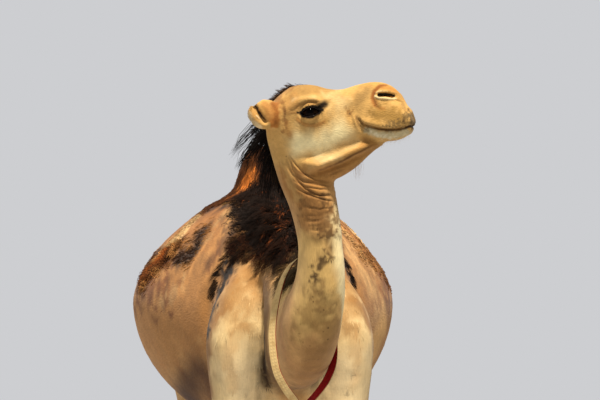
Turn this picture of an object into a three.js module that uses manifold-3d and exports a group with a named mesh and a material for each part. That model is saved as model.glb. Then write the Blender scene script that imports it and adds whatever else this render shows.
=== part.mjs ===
// A standing dromedary camel, life size: head turned to its left, loose webbing collar round the neck.
// Millimetres, +Z up. The camel faces -Y, its left side is +X. Origin on the floor below the middle of its box.
import * as THREE from 'three';
import { LoftGeometry } from 'three/addons/geometries/LoftGeometry.js';
import { mergeVertices } from 'three/addons/utils/BufferGeometryUtils.js';
import Module from 'manifold-3d';

const wasm = await Module();
wasm.setup();

// ---------- driving dimensions ----------
const GAP = 0.5; // clear space left between neighbouring solids
const X_AXIS = new THREE.Vector3(1, 0, 0);
const Z_AXIS = new THREE.Vector3(0, 0, 1);
const REAR_SHIFT = 196; // with SIDE_SHIFT, puts the origin under the middle of the whole box
const SIDE_SHIFT = 5;

const HEAD_TURN = 65.5; // degrees that the head is turned to the camel's left
const HEAD_ROOT = [-149, -1101, 0]; // under the back of the skull
const EYE_RADIUS = 24;
const EYE_ALONG = 168; // from the back of the skull, along the head
const EYE_HEIGHT = 2006;
const EYE_OUT = 76; // of the eyeball's centre from the head's middle plane

const PAD_FORWARD = 14; // how far a foot's pad lies in front of the point it is placed by
const PAD_INTO_ANKLE = 34; // how far its top section rises into the ankle
const SOLE_DEPTH = 16; // cut off below the floor, so that the sole is flat
const ANKLE_RISE = 24; // of the parting between foot and shank above the pad
const CLEFT = { width: 7, length: 0.34, height: 1.5, level: 0.2 }; // between the toes, by the pad's size
const FORE_FOOT = { x: 158, y: -560, length: 205, width: 182, height: 78 };
const HIND_FOOT = { x: 150, y: 600, length: 180, width: 158, height: 74 };

const COAT = { tan: 0xc49a62, pale: 0xd8bd8c, brown: 0x5f3a20, black: 0x2a1d15, horn: 0x4a3a2c };

// ---------- materials ----------
function finish(color, roughness, metalness = 0) {
  return new THREE.MeshStandardMaterial({ color, roughness, metalness });
}
const materials = {
  coat: finish(COAT.tan, 0.9),
  pale: finish(COAT.pale, 0.9),
  wool: finish(COAT.brown, 0.95),
  mane: finish(COAT.black, 0.95),
  eye: finish(0x120c08, 0.08),
  horn: finish(COAT.horn, 0.6),
  callus: finish(0x6b5744, 0.85),
  webbing: finish(0xe2cf9f, 0.85),
  lining: finish(0xa3141b, 0.85),
};

// ---------- solids ----------
// The closed body of a geometry, with its shared vertices merged.
function solid(geometry) {
  const bare = new THREE.BufferGeometry();
  bare.setAttribute('position', geometry.attributes.position);
  bare.setIndex(geometry.index);
  const merged = mergeVertices(bare, 1e-3);
  return new wasm.Manifold(new wasm.Mesh({
    numProp: 3,
    vertProperties: merged.attributes.position.array,
    triVerts: new Uint32Array(merged.index.array),
  }));
}

// The largest body of a cut solid.
function largest(body) {
  return body.decompose().sort((a, b) => b.volume() - a.volume())[0];
}

const camel = new THREE.Group();

function place(name, body, material) {
  const cut = body.getMesh();
  const geometry = new THREE.BufferGeometry();
  geometry.setAttribute('position', new THREE.BufferAttribute(cut.vertProperties, 3));
  geometry.setIndex(new THREE.BufferAttribute(cut.triVerts, 1));
  geometry.computeVertexNormals();
  const mesh = new THREE.Mesh(geometry, material);
  mesh.name = name;
  mesh.position.set(SIDE_SHIFT, REAR_SHIFT, 0);
  camel.add(mesh);
}

// ---------- lofted body parts ----------
// A station is [x, y, z, up, down, side, pear]: a section's centre, its reach to the back (up) and to the
// belly (down) side, its half width, and how much wider its upper half is than its lower half.
const DOME_STEPS = [74, 40]; // degrees up a dome at which its sections lie
const curveOf = (points) => new THREE.CatmullRomCurve3(points, false, 'catmullrom', 0.5);

function power(value, exponent) {
  return Math.sign(value) * Math.abs(value) ** exponent;
}

// One closed ring of points round a centre. Its upper and lower halves are superellipses.
function ring(centre, frame, size, shape, around) {
  const points = [];
  for (let j = 0; j < around; j += 1) {
    const angle = (-2 * Math.PI * j) / around;
    const cos = Math.cos(angle);
    const bend = 2 / (cos > 0 ? shape.upper : shape.lower);
    const reach = (cos > 0 ? size.up : size.down) * power(cos, bend);
    const across = size.side * power(Math.sin(angle), bend) * (1 + size.pear * cos);
    points.push(centre.clone().addScaledVector(frame.up, reach).addScaledVector(frame.side, across));
  }
  return points;
}

// The side and up directions of a section: level sections stand upright, others follow the centre line.
function frameAt(tangent, turn, level) {
  const side = X_AXIS.clone().applyAxisAngle(Z_AXIS, THREE.MathUtils.degToRad(turn));
  if (level) return { side, up: Z_AXIS.clone(), along: new THREE.Vector3().crossVectors(side, Z_AXIS) };
  side.addScaledVector(tangent, -side.dot(tangent)).normalize();
  return { side, up: new THREE.Vector3().crossVectors(tangent, side), along: tangent };
}

// Lofts sections through the stations. Each end is a dome, or flat where its height is 0. grow swells the body.
function loft(stations, options, grow = 0) {
  const { around, along, turns = [0, 0], level = false, domes = [40, 40], upper = 2, lower = 2 } = options;
  const path = curveOf(stations.map((s) => new THREE.Vector3(s[0], s[1], s[2])));
  const reaches = curveOf(stations.map((s) => new THREE.Vector3(s[3], s[4], s[5])));
  const traits = curveOf(stations.map((s, i) => new THREE.Vector3(s[6] ?? 0, turns[i] ?? turns[0], 0)));
  const shape = { upper, lower };
  const sectionAt = (t, push, scale) => {
    const reach = reaches.getPoint(t);
    const trait = traits.getPoint(t);
    const frame = frameAt(path.getTangent(t), trait.y, level);
    const size = {
      up: (reach.x + grow) * scale, down: (reach.y + grow) * scale,
      side: (reach.z + grow) * scale, pear: trait.x,
    };
    return ring(path.getPoint(t).addScaledVector(frame.along, push), frame, size, shape, around);
  };
  const domeAt = (t, height, degrees) => {
    const a = THREE.MathUtils.degToRad(degrees);
    return sectionAt(t, height * Math.sin(a), Math.cos(a));
  };
  const sections = [];
  if (domes[0] > 0) sections.push(...DOME_STEPS.map((degrees) => domeAt(0, -domes[0] - grow, degrees)));
  for (let i = 0; i <= along; i += 1) sections.push(sectionAt(i / along, 0, 1));
  if (domes[1] > 0) {
    sections.push(...DOME_STEPS.toReversed().map((degrees) => domeAt(1, domes[1] + grow, degrees)));
  }
  return solid(new LoftGeometry(sections, { capStart: true, capEnd: true }));
}

function box(size, centre, turn = 0) {
  const geometry = new THREE.BoxGeometry(...size);
  geometry.rotateZ(THREE.MathUtils.degToRad(turn));
  geometry.translate(...centre);
  return solid(geometry);
}

// ---------- trunk, hump and brisket pad ----------
// From the rump to the breast: [x, y, z of the widest line, reach up, reach down, half width].
const TRUNK = [
  [-5, 850, 1400, 150, 130, 128],
  [-5, 760, 1425, 205, 200, 220],
  [-5, 600, 1450, 262, 285, 312],
  [-5, 400, 1455, 335, 372, 412],
  [-5, 190, 1450, 394, 436, 462],
  [-5, -20, 1442, 400, 448, 430],
  [-5, -220, 1425, 392, 438, 350],
  [-5, -420, 1400, 372, 398, 256],
  [-5, -560, 1385, 300, 318, 165],
  [-5, -670, 1370, 195, 220, 98],
];
const TRUNK_SHAPE = { around: 24, along: 13, level: true, domes: [40, 50], upper: 1.62, lower: 1.95 };
const trunk = (grow) => loft(TRUNK, TRUNK_SHAPE, grow);

// Up through the hump: reach up is to the rear here, reach down to the front.
const HUMP = [
  [0, 110, 1640, 330, 320, 235],
  [2, 105, 1740, 330, 310, 205],
  [4, 95, 1830, 250, 235, 133],
  [6, 85, 1900, 185, 165, 120],
  [6, 75, 1958, 115, 105, 95],
];
const hump = (grow) => loft(HUMP, { around: 14, along: 6, domes: [20, 52] }, grow);

// Down through the horny pad under the chest.
const BRISKET = [
  [0, -400, 1060, 95, 110, 78],
  [0, -400, 962, 88, 100, 66],
];
const brisket = (grow) =>
  loft(BRISKET, { around: 10, along: 1, domes: [20, 24], upper: 2.4, lower: 2.4 }, grow);

// ---------- neck and mane ----------
// From inside the chest to inside the skull.
const NECK = [
  [-4, -500, 1440, 290, 325, 155, -0.1],
  [-2, -680, 1385, 225, 252, 118, -0.15],
  [2, -850, 1352, 175, 190, 100, -0.2],
  [8, -990, 1388, 138, 152, 95, -0.15],
  [24, -1076, 1490, 114, 120, 80, -0.05],
  [20, -1118, 1610, 98, 98, 69],
  [-2, -1132, 1725, 90, 88, 65],
  [-34, -1138, 1835, 90, 94, 66],
  [-60, -1136, 1930, 88, 90, 64],
];
const NECK_TURNS = [0, 0, 0, 3, 9, 18, 32, 52, 65.5];
const neck = (grow) => loft(NECK, { around: 16, along: 13, turns: NECK_TURNS, domes: [30, 40] }, grow);

// The crest of long hair from the crown down the nape to the withers.
const MANE = [
  [0, -350, 1770, 42, 120, 112],
  [0, -480, 1730, 50, 125, 118],
  [0, -620, 1632, 56, 118, 104],
  [2, -770, 1547, 54, 90, 86],
  [6, -895, 1528, 42, 70, 62],
  [22, -975, 1585, 36, 50, 50],
  [10, -1020, 1685, 34, 45, 46],
  [-35, -1048, 1795, 44, 45, 44],
  [-98, -1077, 1900, 68, 50, 46],
  [-134, -1094, 1985, 52, 50, 44],
  [-118, -1115, 2056, 30, 44, 40],
  [-62, -1140, 2090, 20, 40, 34],
];
const MANE_TURNS = [0, 0, 0, 0, 0, 9, 18, 32, 52, 65.5, 65.5, 65.5];
const mane = () => loft(MANE, { around: 8, along: 13, turns: MANE_TURNS, domes: [30, 20] });

// ---------- head ----------
// Head stations are [distance from the back of the skull, top, bottom, widest height, half width, pear].
const turn = THREE.MathUtils.degToRad(HEAD_TURN);
const headAxis = new THREE.Vector3(Math.sin(turn), -Math.cos(turn), 0);
const headLeft = new THREE.Vector3(Math.cos(turn), Math.sin(turn), 0);

function inHead(along, left, height) {
  return new THREE.Vector3(...HEAD_ROOT).addScaledVector(headAxis, along).addScaledVector(headLeft, left)
    .setZ(height);
}

function headStations(rows) {
  return rows.map(([along, top, bottom, widest, side, pear]) => {
    const at = inHead(along, 0, widest);
    return [at.x, at.y, at.z, top - widest, widest - bottom, side, pear];
  });
}

const SKULL = headStations([
  [24, 2050, 1890, 1985, 62, 0.1],
  [56, 2074, 1862, 1990, 76, 0.15],
  [92, 2096, 1840, 1995, 88, 0.2],
  [130, 2102, 1832, 2000, 95, 0.25],
  [165, 2099, 1838, 2000, 92, 0.3],
  [205, 2086, 1850, 1985, 74, 0.25],
  [250, 2083, 1868, 1972, 60, 0.15],
  [298, 2095, 1890, 1968, 54, 0.12],
  [342, 2103, 1915, 1975, 55, 0.12],
  [380, 2100, 1918, 1980, 60, 0.1],
  [412, 2084, 1920, 1980, 57, 0.05],
  [438, 2056, 1926, 1978, 50, 0],
  [458, 2024, 1936, 1976, 38, 0],
]);
const HEAD_SHAPE = {
  around: 20, along: 16, turns: [HEAD_TURN], level: true, domes: [16, 18], upper: 2.2, lower: 2.1,
};

// The loose skin that runs from the chin down to the front of the throat.
const THROAT = headStations([
  [150, 1900, 1790, 1850, 58, 0],
  [215, 1900, 1800, 1860, 50, 0],
  [275, 1920, 1829, 1880, 42, 0],
  [330, 1945, 1872, 1905, 34, 0],
  [366, 1955, 1903, 1925, 24, 0],
]);

// The upper lip hangs over the lower one at the very front.
const UPPER_LIP = headStations([
  [395, 2010, 1948, 1985, 52, 0],
  [430, 2010, 1944, 1978, 50, 0],
  [452, 2000, 1951, 1975, 42, 0],
]);

const skullOf = (grow) => loft(SKULL, HEAD_SHAPE, grow)
  .add(loft(THROAT, { ...HEAD_SHAPE, around: 12, along: 5, domes: [20, 16], upper: 2, lower: 2 }, grow))
  .add(loft(UPPER_LIP, { ...HEAD_SHAPE, around: 14, along: 2, domes: [12, 17] }, grow));

// An eyeball, on the camel's left (1) or right (-1).
function eyeball(sideSign, grow = 0) {
  const geometry = new THREE.SphereGeometry(EYE_RADIUS + grow, 9, 6);
  geometry.translate(...inHead(EYE_ALONG, sideSign * EYE_OUT, EYE_HEIGHT));
  return solid(geometry);
}

// The part of the head under the mouth line and in front of the cheek: [distance along the head, height].
const MOUTH_LINE = [[520, 1962], [440, 1957], [380, 1960], [318, 1978]];
const JAW = { rear: 176, angle: 1840, under: 1700, across: 300 };

function jawPrism(grow) {
  const mouth = MOUTH_LINE.map(([along, height], i) => [along - (i === 3 ? grow : 0), height + grow]);
  const behind = [[JAW.rear - grow, JAW.angle], [JAW.rear - grow, JAW.under], [MOUTH_LINE[0][0], JAW.under]];
  const corners = [...mouth, ...behind].map(([along, height]) => new THREE.Vector2(along, height));
  const outline = new THREE.Shape(corners);
  const geometry = new THREE.ExtrudeGeometry(outline, { depth: JAW.across, bevelEnabled: false });
  const across = new THREE.Vector3().crossVectors(headAxis, Z_AXIS);
  const basis = new THREE.Matrix4().makeBasis(headAxis, Z_AXIS, across);
  geometry.translate(0, 0, -JAW.across / 2);
  geometry.applyMatrix4(basis);
  geometry.translate(HEAD_ROOT[0], HEAD_ROOT[1], 0);
  return solid(geometry);
}

// An ear: a rounded leaf, hollowed on its front, from the side of the skull out and back.
function ear(sideSign, grow = 0) {
  const outer = [[66, 66, 2003], [44, 84, 2003], [16, 104, 2003], [-8, 114, 2008]];
  const reach = [[32, 16], [46, 20], [46, 19], [26, 11]];
  const stations = outer.map(([along, out, height], i) => {
    const at = inHead(along, sideSign * out, height);
    return [at.x, at.y, at.z, reach[i][0], reach[i][0], reach[i][1], 0];
  });
  return loft(stations, { around: 10, along: 4, turns: [HEAD_TURN], domes: [12, 12] }, grow);
}

function earHollow(sideSign) {
  const line = [[42, 108, 2003], [14, 128, 2003], [-6, 132, 2008]];
  const reach = [[12, 12], [24, 14], [12, 7]];
  const stations = line.map(([along, out, height], i) => {
    const at = inHead(along, sideSign * out, height);
    return [at.x, at.y, at.z, reach[i][0], reach[i][0], reach[i][1], 0];
  });
  return loft(stations, { around: 8, along: 2, turns: [HEAD_TURN], domes: [6, 6] });
}

// ---------- legs ----------
// Down each leg, for the left side: reach up is to the front here, reach down to the rear.
const FORE_LEG = [
  [105, -450, 1585, 85, 140, 42],
  [136, -490, 1495, 115, 165, 58],
  [163, -518, 1420, 122, 150, 82],
  [181, -532, 1345, 130, 146, 90],
  [189, -538, 1285, 130, 140, 92],
  [181, -545, 1120, 104, 115, 82],
  [172, -550, 990, 80, 88, 68],
  [163, -555, 830, 61, 66, 56],
  [158, -560, 690, 56, 56, 53],
  [157, -563, 610, 64, 56, 62],
  [156, -561, 530, 54, 48, 54],
  [156, -557, 440, 37, 38, 37],
  [156, -556, 310, 34, 38, 35],
  [157, -558, 200, 44, 48, 48],
  [158, -566, 100, 56, 54, 62],
];
const HIND_LEG = [
  [150, 620, 1530, 140, 160, 80],
  [186, 570, 1410, 205, 215, 118],
  [198, 520, 1265, 200, 215, 118],
  [188, 530, 1110, 138, 158, 94],
  [171, 588, 950, 90, 102, 70],
  [158, 655, 800, 60, 64, 52],
  [151, 700, 680, 54, 52, 48],
  [149, 694, 580, 46, 46, 44],
  [148, 668, 460, 36, 38, 36],
  [148, 644, 330, 34, 37, 34],
  [149, 622, 210, 42, 44, 44],
  [150, 602, 100, 52, 50, 54],
];
const LEGS = {
  fore: { stations: FORE_LEG, joint: 690, upper: 'arm', pad: FORE_FOOT, rows: 15 },
  hind: { stations: HIND_LEG, joint: 705, upper: 'thigh', pad: HIND_FOOT, rows: 14 },
};

// A whole leg from inside the trunk down into the foot.
function leg({ stations, rows }, sideSign) {
  const mirrored = stations.map(([x, ...rest]) => [sideSign * x, ...rest]);
  return loft(mirrored, { around: 12, along: rows, domes: [30, 0] });
}

// A broad two-toed pad, flat below and domed above, with a cleft between the toes. grow swells it.
function foot({ x, y, length, width, height }, sideSign, grow = 0) {
  const half = length / 2;
  const middle = y - PAD_FORWARD;
  const stations = [
    [sideSign * x, middle + 2, height + PAD_INTO_ANKLE, half * 0.4, half * 0.42, width * 0.28],
    [sideSign * x, middle, height, half * 0.68, half * 0.66, width * 0.4],
    [sideSign * x, middle, height * 0.5, half * 0.95, half * 0.92, width * 0.49],
    [sideSign * x, middle, 10, half, half * 0.95, width * 0.5],
    [sideSign * x, middle, -SOLE_DEPTH, half * 0.93, half * 0.9, width * 0.46],
  ];
  const pad = loft(stations, { around: 12, along: 4, domes: [0, 0], upper: 2.3, lower: 2 }, grow);
  const floor = box([2 * length, 2 * length, height], [sideSign * x, middle, -height / 2]);
  const cut = [CLEFT.width - 2 * grow, length * CLEFT.length, height * CLEFT.height];
  const cleft = box(cut, [sideSign * x, middle - half * 0.97, height * CLEFT.level]);
  return pad.subtract(floor).subtract(cleft);
}

// A toenail on the inner (-1) or outer (1) toe.
function nail({ x, y, length, width, height }, sideSign, toe) {
  const centre = sideSign * (x + toe * width * 0.2);
  const front = y - PAD_FORWARD - length * 0.41;
  const middle = height * 0.38;
  const stations = [
    [centre, front + 16, middle + 12, 12, 12, 17],
    [centre + sideSign * toe * 2, front - 6, middle, 15, 15, 18],
    [centre + sideSign * toe * 3, front - 25, middle - 11, 9, 9, 13],
  ];
  return loft(stations, { around: 6, along: 2, domes: [0, 0] });
}

// ---------- tail ----------
const TAIL = [
  [0, 850, 1530, 40, 40, 42],
  [0, 896, 1450, 30, 30, 33],
  [0, 912, 1330, 23, 24, 26],
  [0, 906, 1200, 20, 20, 24],
  [0, 898, 1080, 24, 24, 34],
  [0, 894, 985, 18, 18, 24],
];
const tail = (grow) => loft(TAIL, { around: 8, along: 7, domes: [20, 40] }, grow);

// ---------- collar ----------
// A loose loop of two-coloured webbing: from a knot below the neck, up the right side, over the crest and down.
const COLLAR_LOOP = [
  [-34, -1008, 1100], [-48, -1007, 1128], [-76, -1005, 1166], [-103, -1000, 1224], [-113, -985, 1314],
  [-107, -970, 1385], [-92, -948, 1450], [-72, -926, 1506], [-42, -904, 1552], [4, -890, 1580],
  [52, -878, 1570], [82, -864, 1524], [95, -856, 1440], [99, -858, 1350], [97, -880, 1280], [87, -916, 1236],
  [69, -952, 1201], [45, -982, 1168], [12, -1002, 1132], [-22, -1010, 1100],
];
const COLLAR = {
  width: 26, thickness: 1.6, apart: 1.6, twist: 44, steps: 36, middle: [8, -950, 1340], turns: [0.7, 1],
};

// How far the strip has turned from lying flat on the neck, from 1 at its right end to -1 at its left end.
function turnAt(t) {
  return t < 0.5 ? Math.cos(Math.PI * t) : -THREE.MathUtils.smoothstep(t, ...COLLAR.turns);
}

const KNOT = { centre: [-28, -1009, 1086], half: [23, 17, 24] };

// A flat strip that follows the loop, with its middle a set distance outside it. grow swells it.
function strip(offset, grow = 0) {
  const path = curveOf(COLLAR_LOOP.map((p) => new THREE.Vector3(...p)));
  const middle = new THREE.Vector3(...COLLAR.middle);
  const sections = [];
  for (let i = 0; i <= COLLAR.steps; i += 1) {
    const t = i / COLLAR.steps;
    const tangent = path.getTangent(t);
    const beyond = Number(i === COLLAR.steps) - Number(i === 0);
    const at = path.getPoint(t).addScaledVector(tangent, beyond * grow);
    const out = at.clone().sub(middle);
    out.addScaledVector(tangent, -out.dot(tangent)).normalize();
    const normal = out.applyAxisAngle(tangent, THREE.MathUtils.degToRad(COLLAR.twist) * turnAt(t));
    const wide = new THREE.Vector3().crossVectors(tangent, normal);
    const corner = (a, b) => at.clone().addScaledVector(wide, a * (COLLAR.width / 2 + grow))
      .addScaledVector(normal, offset + b * (COLLAR.thickness / 2 + grow));
    sections.push([corner(-1, -1), corner(-1, 1), corner(1, 1), corner(1, -1)]);
  }
  return solid(new LoftGeometry(sections, { capStart: true, capEnd: true }));
}

function knot() {
  const geometry = new THREE.SphereGeometry(1, 8, 6);
  geometry.scale(...KNOT.half);
  geometry.translate(...KNOT.centre);
  return solid(geometry);
}

// ---------- assembly ----------
const trunkOut = trunk(GAP);
const humpOut = hump(GAP);
const neckOut = neck(GAP);
const skullOut = skullOf(GAP);
const collarOut = strip(0, 2 * COLLAR.thickness + GAP);

place('trunk', trunk(0), materials.coat);
place('hump', largest(hump(0).subtract(trunkOut)), materials.wool);
place('brisket_pad', largest(brisket(0).subtract(trunkOut)), materials.callus);
place('tail', largest(tail(0).subtract(trunkOut)), materials.coat);

// The neck is parted where it starts to rise from the chest to the throat.
const neckWhole = neck(0).subtract(trunkOut).subtract(skullOut);
const NECK_PARTING = 1530;
const NECK_BLOCK = { across: 900, deep: 1400, high: 1200, y: -900 };
const neckHalf = (upSign) => box(
  [NECK_BLOCK.across, NECK_BLOCK.deep, NECK_BLOCK.high],
  [0, NECK_BLOCK.y, NECK_PARTING + upSign * (NECK_BLOCK.high + GAP) / 2],
);
place('neck_lower', largest(neckWhole.intersect(neckHalf(-1)).subtract(collarOut)), materials.coat);
place('neck_upper', largest(neckWhole.intersect(neckHalf(1))), materials.coat);
const neckParts = [neckOut, trunkOut, humpOut, skullOut, collarOut];
const crest = neckParts.reduce((left, part) => left.subtract(part), mane());
place('mane', largest(crest), materials.mane);

let skull = skullOf(0);
for (const sideSign of [-1, 1]) {
  const name = sideSign > 0 ? 'left' : 'right';
  skull = skull.subtract(eyeball(sideSign, GAP));
  place(`eye_${name}`, eyeball(sideSign), materials.eye);
  place(`ear_${name}`, largest(ear(sideSign).subtract(skullOut).subtract(earHollow(sideSign))), materials.pale);
}
place('head', largest(skull.subtract(jawPrism(GAP))), materials.coat);
place('lower_jaw', largest(skull.intersect(jawPrism(0))), materials.pale);

// A slab between two heights holds one leg's piece; it reaches out this far from its middle.
const SLAB = { x: 250, across: 600, deep: 1200, bottom: -50, top: 2400 };
for (const sideSign of [-1, 1]) {
  const name = sideSign > 0 ? 'left' : 'right';
  for (const [kind, limb] of Object.entries(LEGS)) {
    const { pad, joint, upper } = limb;
    const ankle = pad.height + ANKLE_RISE;
    const whole = leg(limb, sideSign);
    const slab = (low, high) => box(
      [SLAB.across, SLAB.deep, high - low],
      [sideSign * SLAB.x, pad.y, (low + high) / 2],
    );
    const thigh = whole.intersect(slab(joint + GAP / 2, SLAB.top)).subtract(trunkOut).subtract(neckOut);
    place(`${kind}_${upper}_${name}`, largest(thigh), materials.coat);
    place(`${kind}_shank_${name}`, whole.intersect(slab(ankle + GAP / 2, joint - GAP / 2)), materials.coat);
    const sole = foot(pad, sideSign).intersect(slab(SLAB.bottom, ankle - GAP / 2));
    place(`${kind}_foot_${name}`, sole, materials.coat);
    for (const toe of [-1, 1]) {
      const claw = nail(pad, sideSign, toe).subtract(foot(pad, sideSign, GAP));
      place(`${kind}_nail_${name}_${toe > 0 ? 'outer' : 'inner'}`, largest(claw), materials.horn);
    }
  }
}

const tapeOffset = (COLLAR.thickness + COLLAR.apart) / 2;
place('collar_webbing', strip(tapeOffset), materials.webbing);
place('collar_lining', strip(-tapeOffset), materials.lining);
place('collar_knot', largest(knot().subtract(collarOut)), materials.lining);

export default camel;
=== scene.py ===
"""A standing dromedary as a life-size museum model: one skin, a coat of tufts, eyes, nails and a collar.

Lengths inside the shape tables are millimetres, as in the solids; everything handed to Blender is in metres.
"""
import logging
import math
from dataclasses import dataclass, field, replace
from enum import Enum
from functools import partial

import bmesh
import bpy
import numpy as np
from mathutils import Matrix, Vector


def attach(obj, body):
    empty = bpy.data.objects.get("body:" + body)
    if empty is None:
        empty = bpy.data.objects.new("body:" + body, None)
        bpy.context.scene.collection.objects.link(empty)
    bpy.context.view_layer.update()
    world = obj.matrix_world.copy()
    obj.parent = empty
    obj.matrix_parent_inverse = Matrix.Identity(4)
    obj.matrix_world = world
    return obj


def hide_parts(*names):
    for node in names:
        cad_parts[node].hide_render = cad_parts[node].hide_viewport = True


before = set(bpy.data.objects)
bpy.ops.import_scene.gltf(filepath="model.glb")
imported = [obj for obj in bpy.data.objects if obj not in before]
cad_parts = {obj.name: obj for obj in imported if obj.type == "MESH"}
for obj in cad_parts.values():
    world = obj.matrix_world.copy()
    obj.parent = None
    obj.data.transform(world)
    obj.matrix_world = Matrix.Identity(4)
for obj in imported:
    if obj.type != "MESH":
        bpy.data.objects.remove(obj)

log = logging.getLogger("camel")
Array = np.ndarray
Point = tuple[float, float, float]
MM = 0.001
LOWEST_HAIR = 0.001  # metres over the floor
ROOT_SUNK = 0.0012  # metres that a tuft starts under the skin
BLOCK = 2000  # tufts compared with their locks at a time
ATLAS = 4  # cells along each side of the coat's bake map, one for each body form
SOLID_SHIFT = np.array([5.0, 196.0, 0.0])  # mm from the stations' origin to the model's, as in the solids


class Side(Enum):
    """Which side of the animal a mark, fold or tuft bed lies on."""

    BOTH = 0
    LEFT = 1
    RIGHT = -1


class Space(Enum):
    """The axes a path is given in: the whole body's, or the turned head's (along, out, height)."""

    BODY = "body"
    HEAD = "head"


B, H, R, L = Space.BODY, Space.HEAD, Side.RIGHT, Side.LEFT  # short names for the tables


# ---------- small tools ----------
def linear(code: str) -> Array:
    """sRGB hex colour as linear light."""
    raw = np.array([int(code[i:i + 2], 16) for i in (1, 3, 5)]) / 255
    return np.where(raw <= 0.04045, raw / 12.92, ((raw + 0.055) / 1.055) ** 2.4)


def circle(count: int) -> Array:
    """Angles of evenly spaced places round a circle."""
    return 2 * np.pi * np.arange(count) / count


def unit(rows: Array) -> Array:
    """Rows scaled to length one."""
    return rows / np.maximum(np.linalg.norm(rows, axis=-1, keepdims=True), 1e-9)


def smooth_step(low: float, high: float, value: Array) -> Array:
    """0 below low, 1 above high and an S curve between; low may be the larger."""
    share = np.clip((value - low) / (high - low), 0, 1)
    return share * share * (3 - 2 * share)


def noise(points: Array, size: float, seed: int = 0, octaves: int = 1) -> Array:
    """Smooth value noise, the sum of octaves of half the size and half the height.

    Args:
        points: rows of x, y, z.
        size: width of the largest blobs, in the points' unit.
        seed: which of the fields.
        octaves: how many layers.

    Returns:
        One value a row, about -1 to 1.
    """
    total = np.zeros(len(points))
    for octave in range(octaves):
        place = points * (2 ** octave / size) + 31.7 * (seed + octave)
        cell = np.floor(place).astype(np.int64)
        part = place - cell
        blend = part * part * (3 - 2 * part)
        for corner in range(8):
            step = np.array([corner & 1, corner >> 1 & 1, corner >> 2 & 1])
            x, y, z = (cell + step).T
            mixed = x * 374761393 + y * 668265263 + z * 1440662683 + (seed + octave) * 974634777
            mixed = mixed & 0xFFFFFFFF
            mixed = ((mixed ^ (mixed >> 13)) * 1274126177) & 0xFFFFFFFF
            value = ((mixed ^ (mixed >> 16)) & 0xFFFF) / 32767.5 - 1
            weight = np.where(step, blend, 1 - blend).prod(axis=1)
            total += weight * value / 2 ** octave
    return total


def line_distance(points: Array, path: Array) -> tuple[Array, Array]:
    """How far points are from a broken line, and where along it (0 to 1) their nearest place is."""
    best = np.full(len(points), np.inf)
    place = np.zeros(len(points))
    steps = max(len(path) - 1, 1)
    for k in range(steps):
        start, end = path[k], path[min(k + 1, len(path) - 1)]
        run = end - start
        share = np.clip((points - start) @ run / max(run @ run, 1e-9), 0, 1)
        gap = np.linalg.norm(points - (start + share[:, None] * run), axis=1)
        closer = gap < best
        best = np.where(closer, gap, best)
        place = np.where(closer, (k + share) / steps, place)
    return best, place


def spline(table: Array, t: Array) -> Array:
    """Uniform Catmull-Rom curve through the rows of a table, at places t from 0 to 1."""
    count = len(table) - 1
    padded = np.vstack([2 * table[0] - table[1], table, 2 * table[-1] - table[-2]])
    place = np.clip(t, 0, 1) * count
    i = np.minimum(place.astype(int), count - 1)
    u = (place - i)[:, None]
    a, b, c, d = padded[i], padded[i + 1], padded[i + 2], padded[i + 3]
    square, cube = 2 * a - 5 * b + 4 * c - d, 3 * b - a - 3 * c + d
    return 0.5 * (2 * b + (c - a) * u + square * u ** 2 + cube * u ** 3)


@dataclass(frozen=True)
class HeadAxes:
    """The turned head's own axes: along from the back of the skull, out to the left, and height."""

    turn: float = 65.5
    root: tuple[float, float] = (-144.0, -905.0)  # the back of the skull, in the model's millimetres

    def basis(self) -> Array:
        """Rows are the along, left and up directions."""
        s, c = math.sin(math.radians(self.turn)), math.cos(math.radians(self.turn))
        return np.array([[s, -c, 0], [c, s, 0], [0, 0, 1.0]])

    def inward(self, points: Array) -> Array:
        """Metres in the model's frame to millimetres in the head's."""
        return (points / MM - np.array([*self.root, 0])) @ self.basis().T

    def outward(self, rows: Array) -> Array:
        """Millimetres in the head's frame to metres in the model's."""
        return (np.asarray(rows, float) @ self.basis() + np.array([*self.root, 0])) * MM

    def station(self, along: float, out: float, height: float) -> Array:
        """A place in the head's millimetres, in those of a loft's stations."""
        return self.outward(np.array([[along, out, height]]))[0] / MM - SOLID_SHIFT


HEAD = HeadAxes()


# What each direction counts in a distance: little across the head, so a line laid from its side holds.
WEIGHTS = {Space.BODY: np.ones(3), Space.HEAD: np.array([1.0, 0.35, 1.0])}


def in_space(points: Array, space: Space, side: Side) -> Array:
    """Points in a space's weighted millimetres, folded onto one side where both sides are alike."""
    rows = HEAD.inward(points) if space is Space.HEAD else points / MM
    across = 1 if space is Space.HEAD else 0
    rows = rows.copy()
    if side is Side.BOTH:
        rows[:, across] = np.abs(rows[:, across])
    return rows * WEIGHTS[space]


# ---------- body forms ----------
DOME = np.radians([82, 66, 48, 30, 14])  # how far up a dome each of its rings stands
PROBES = 28  # sections of a form that a point is measured from
NEXT = 1e-4  # step along a curve that gives its direction


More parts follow.
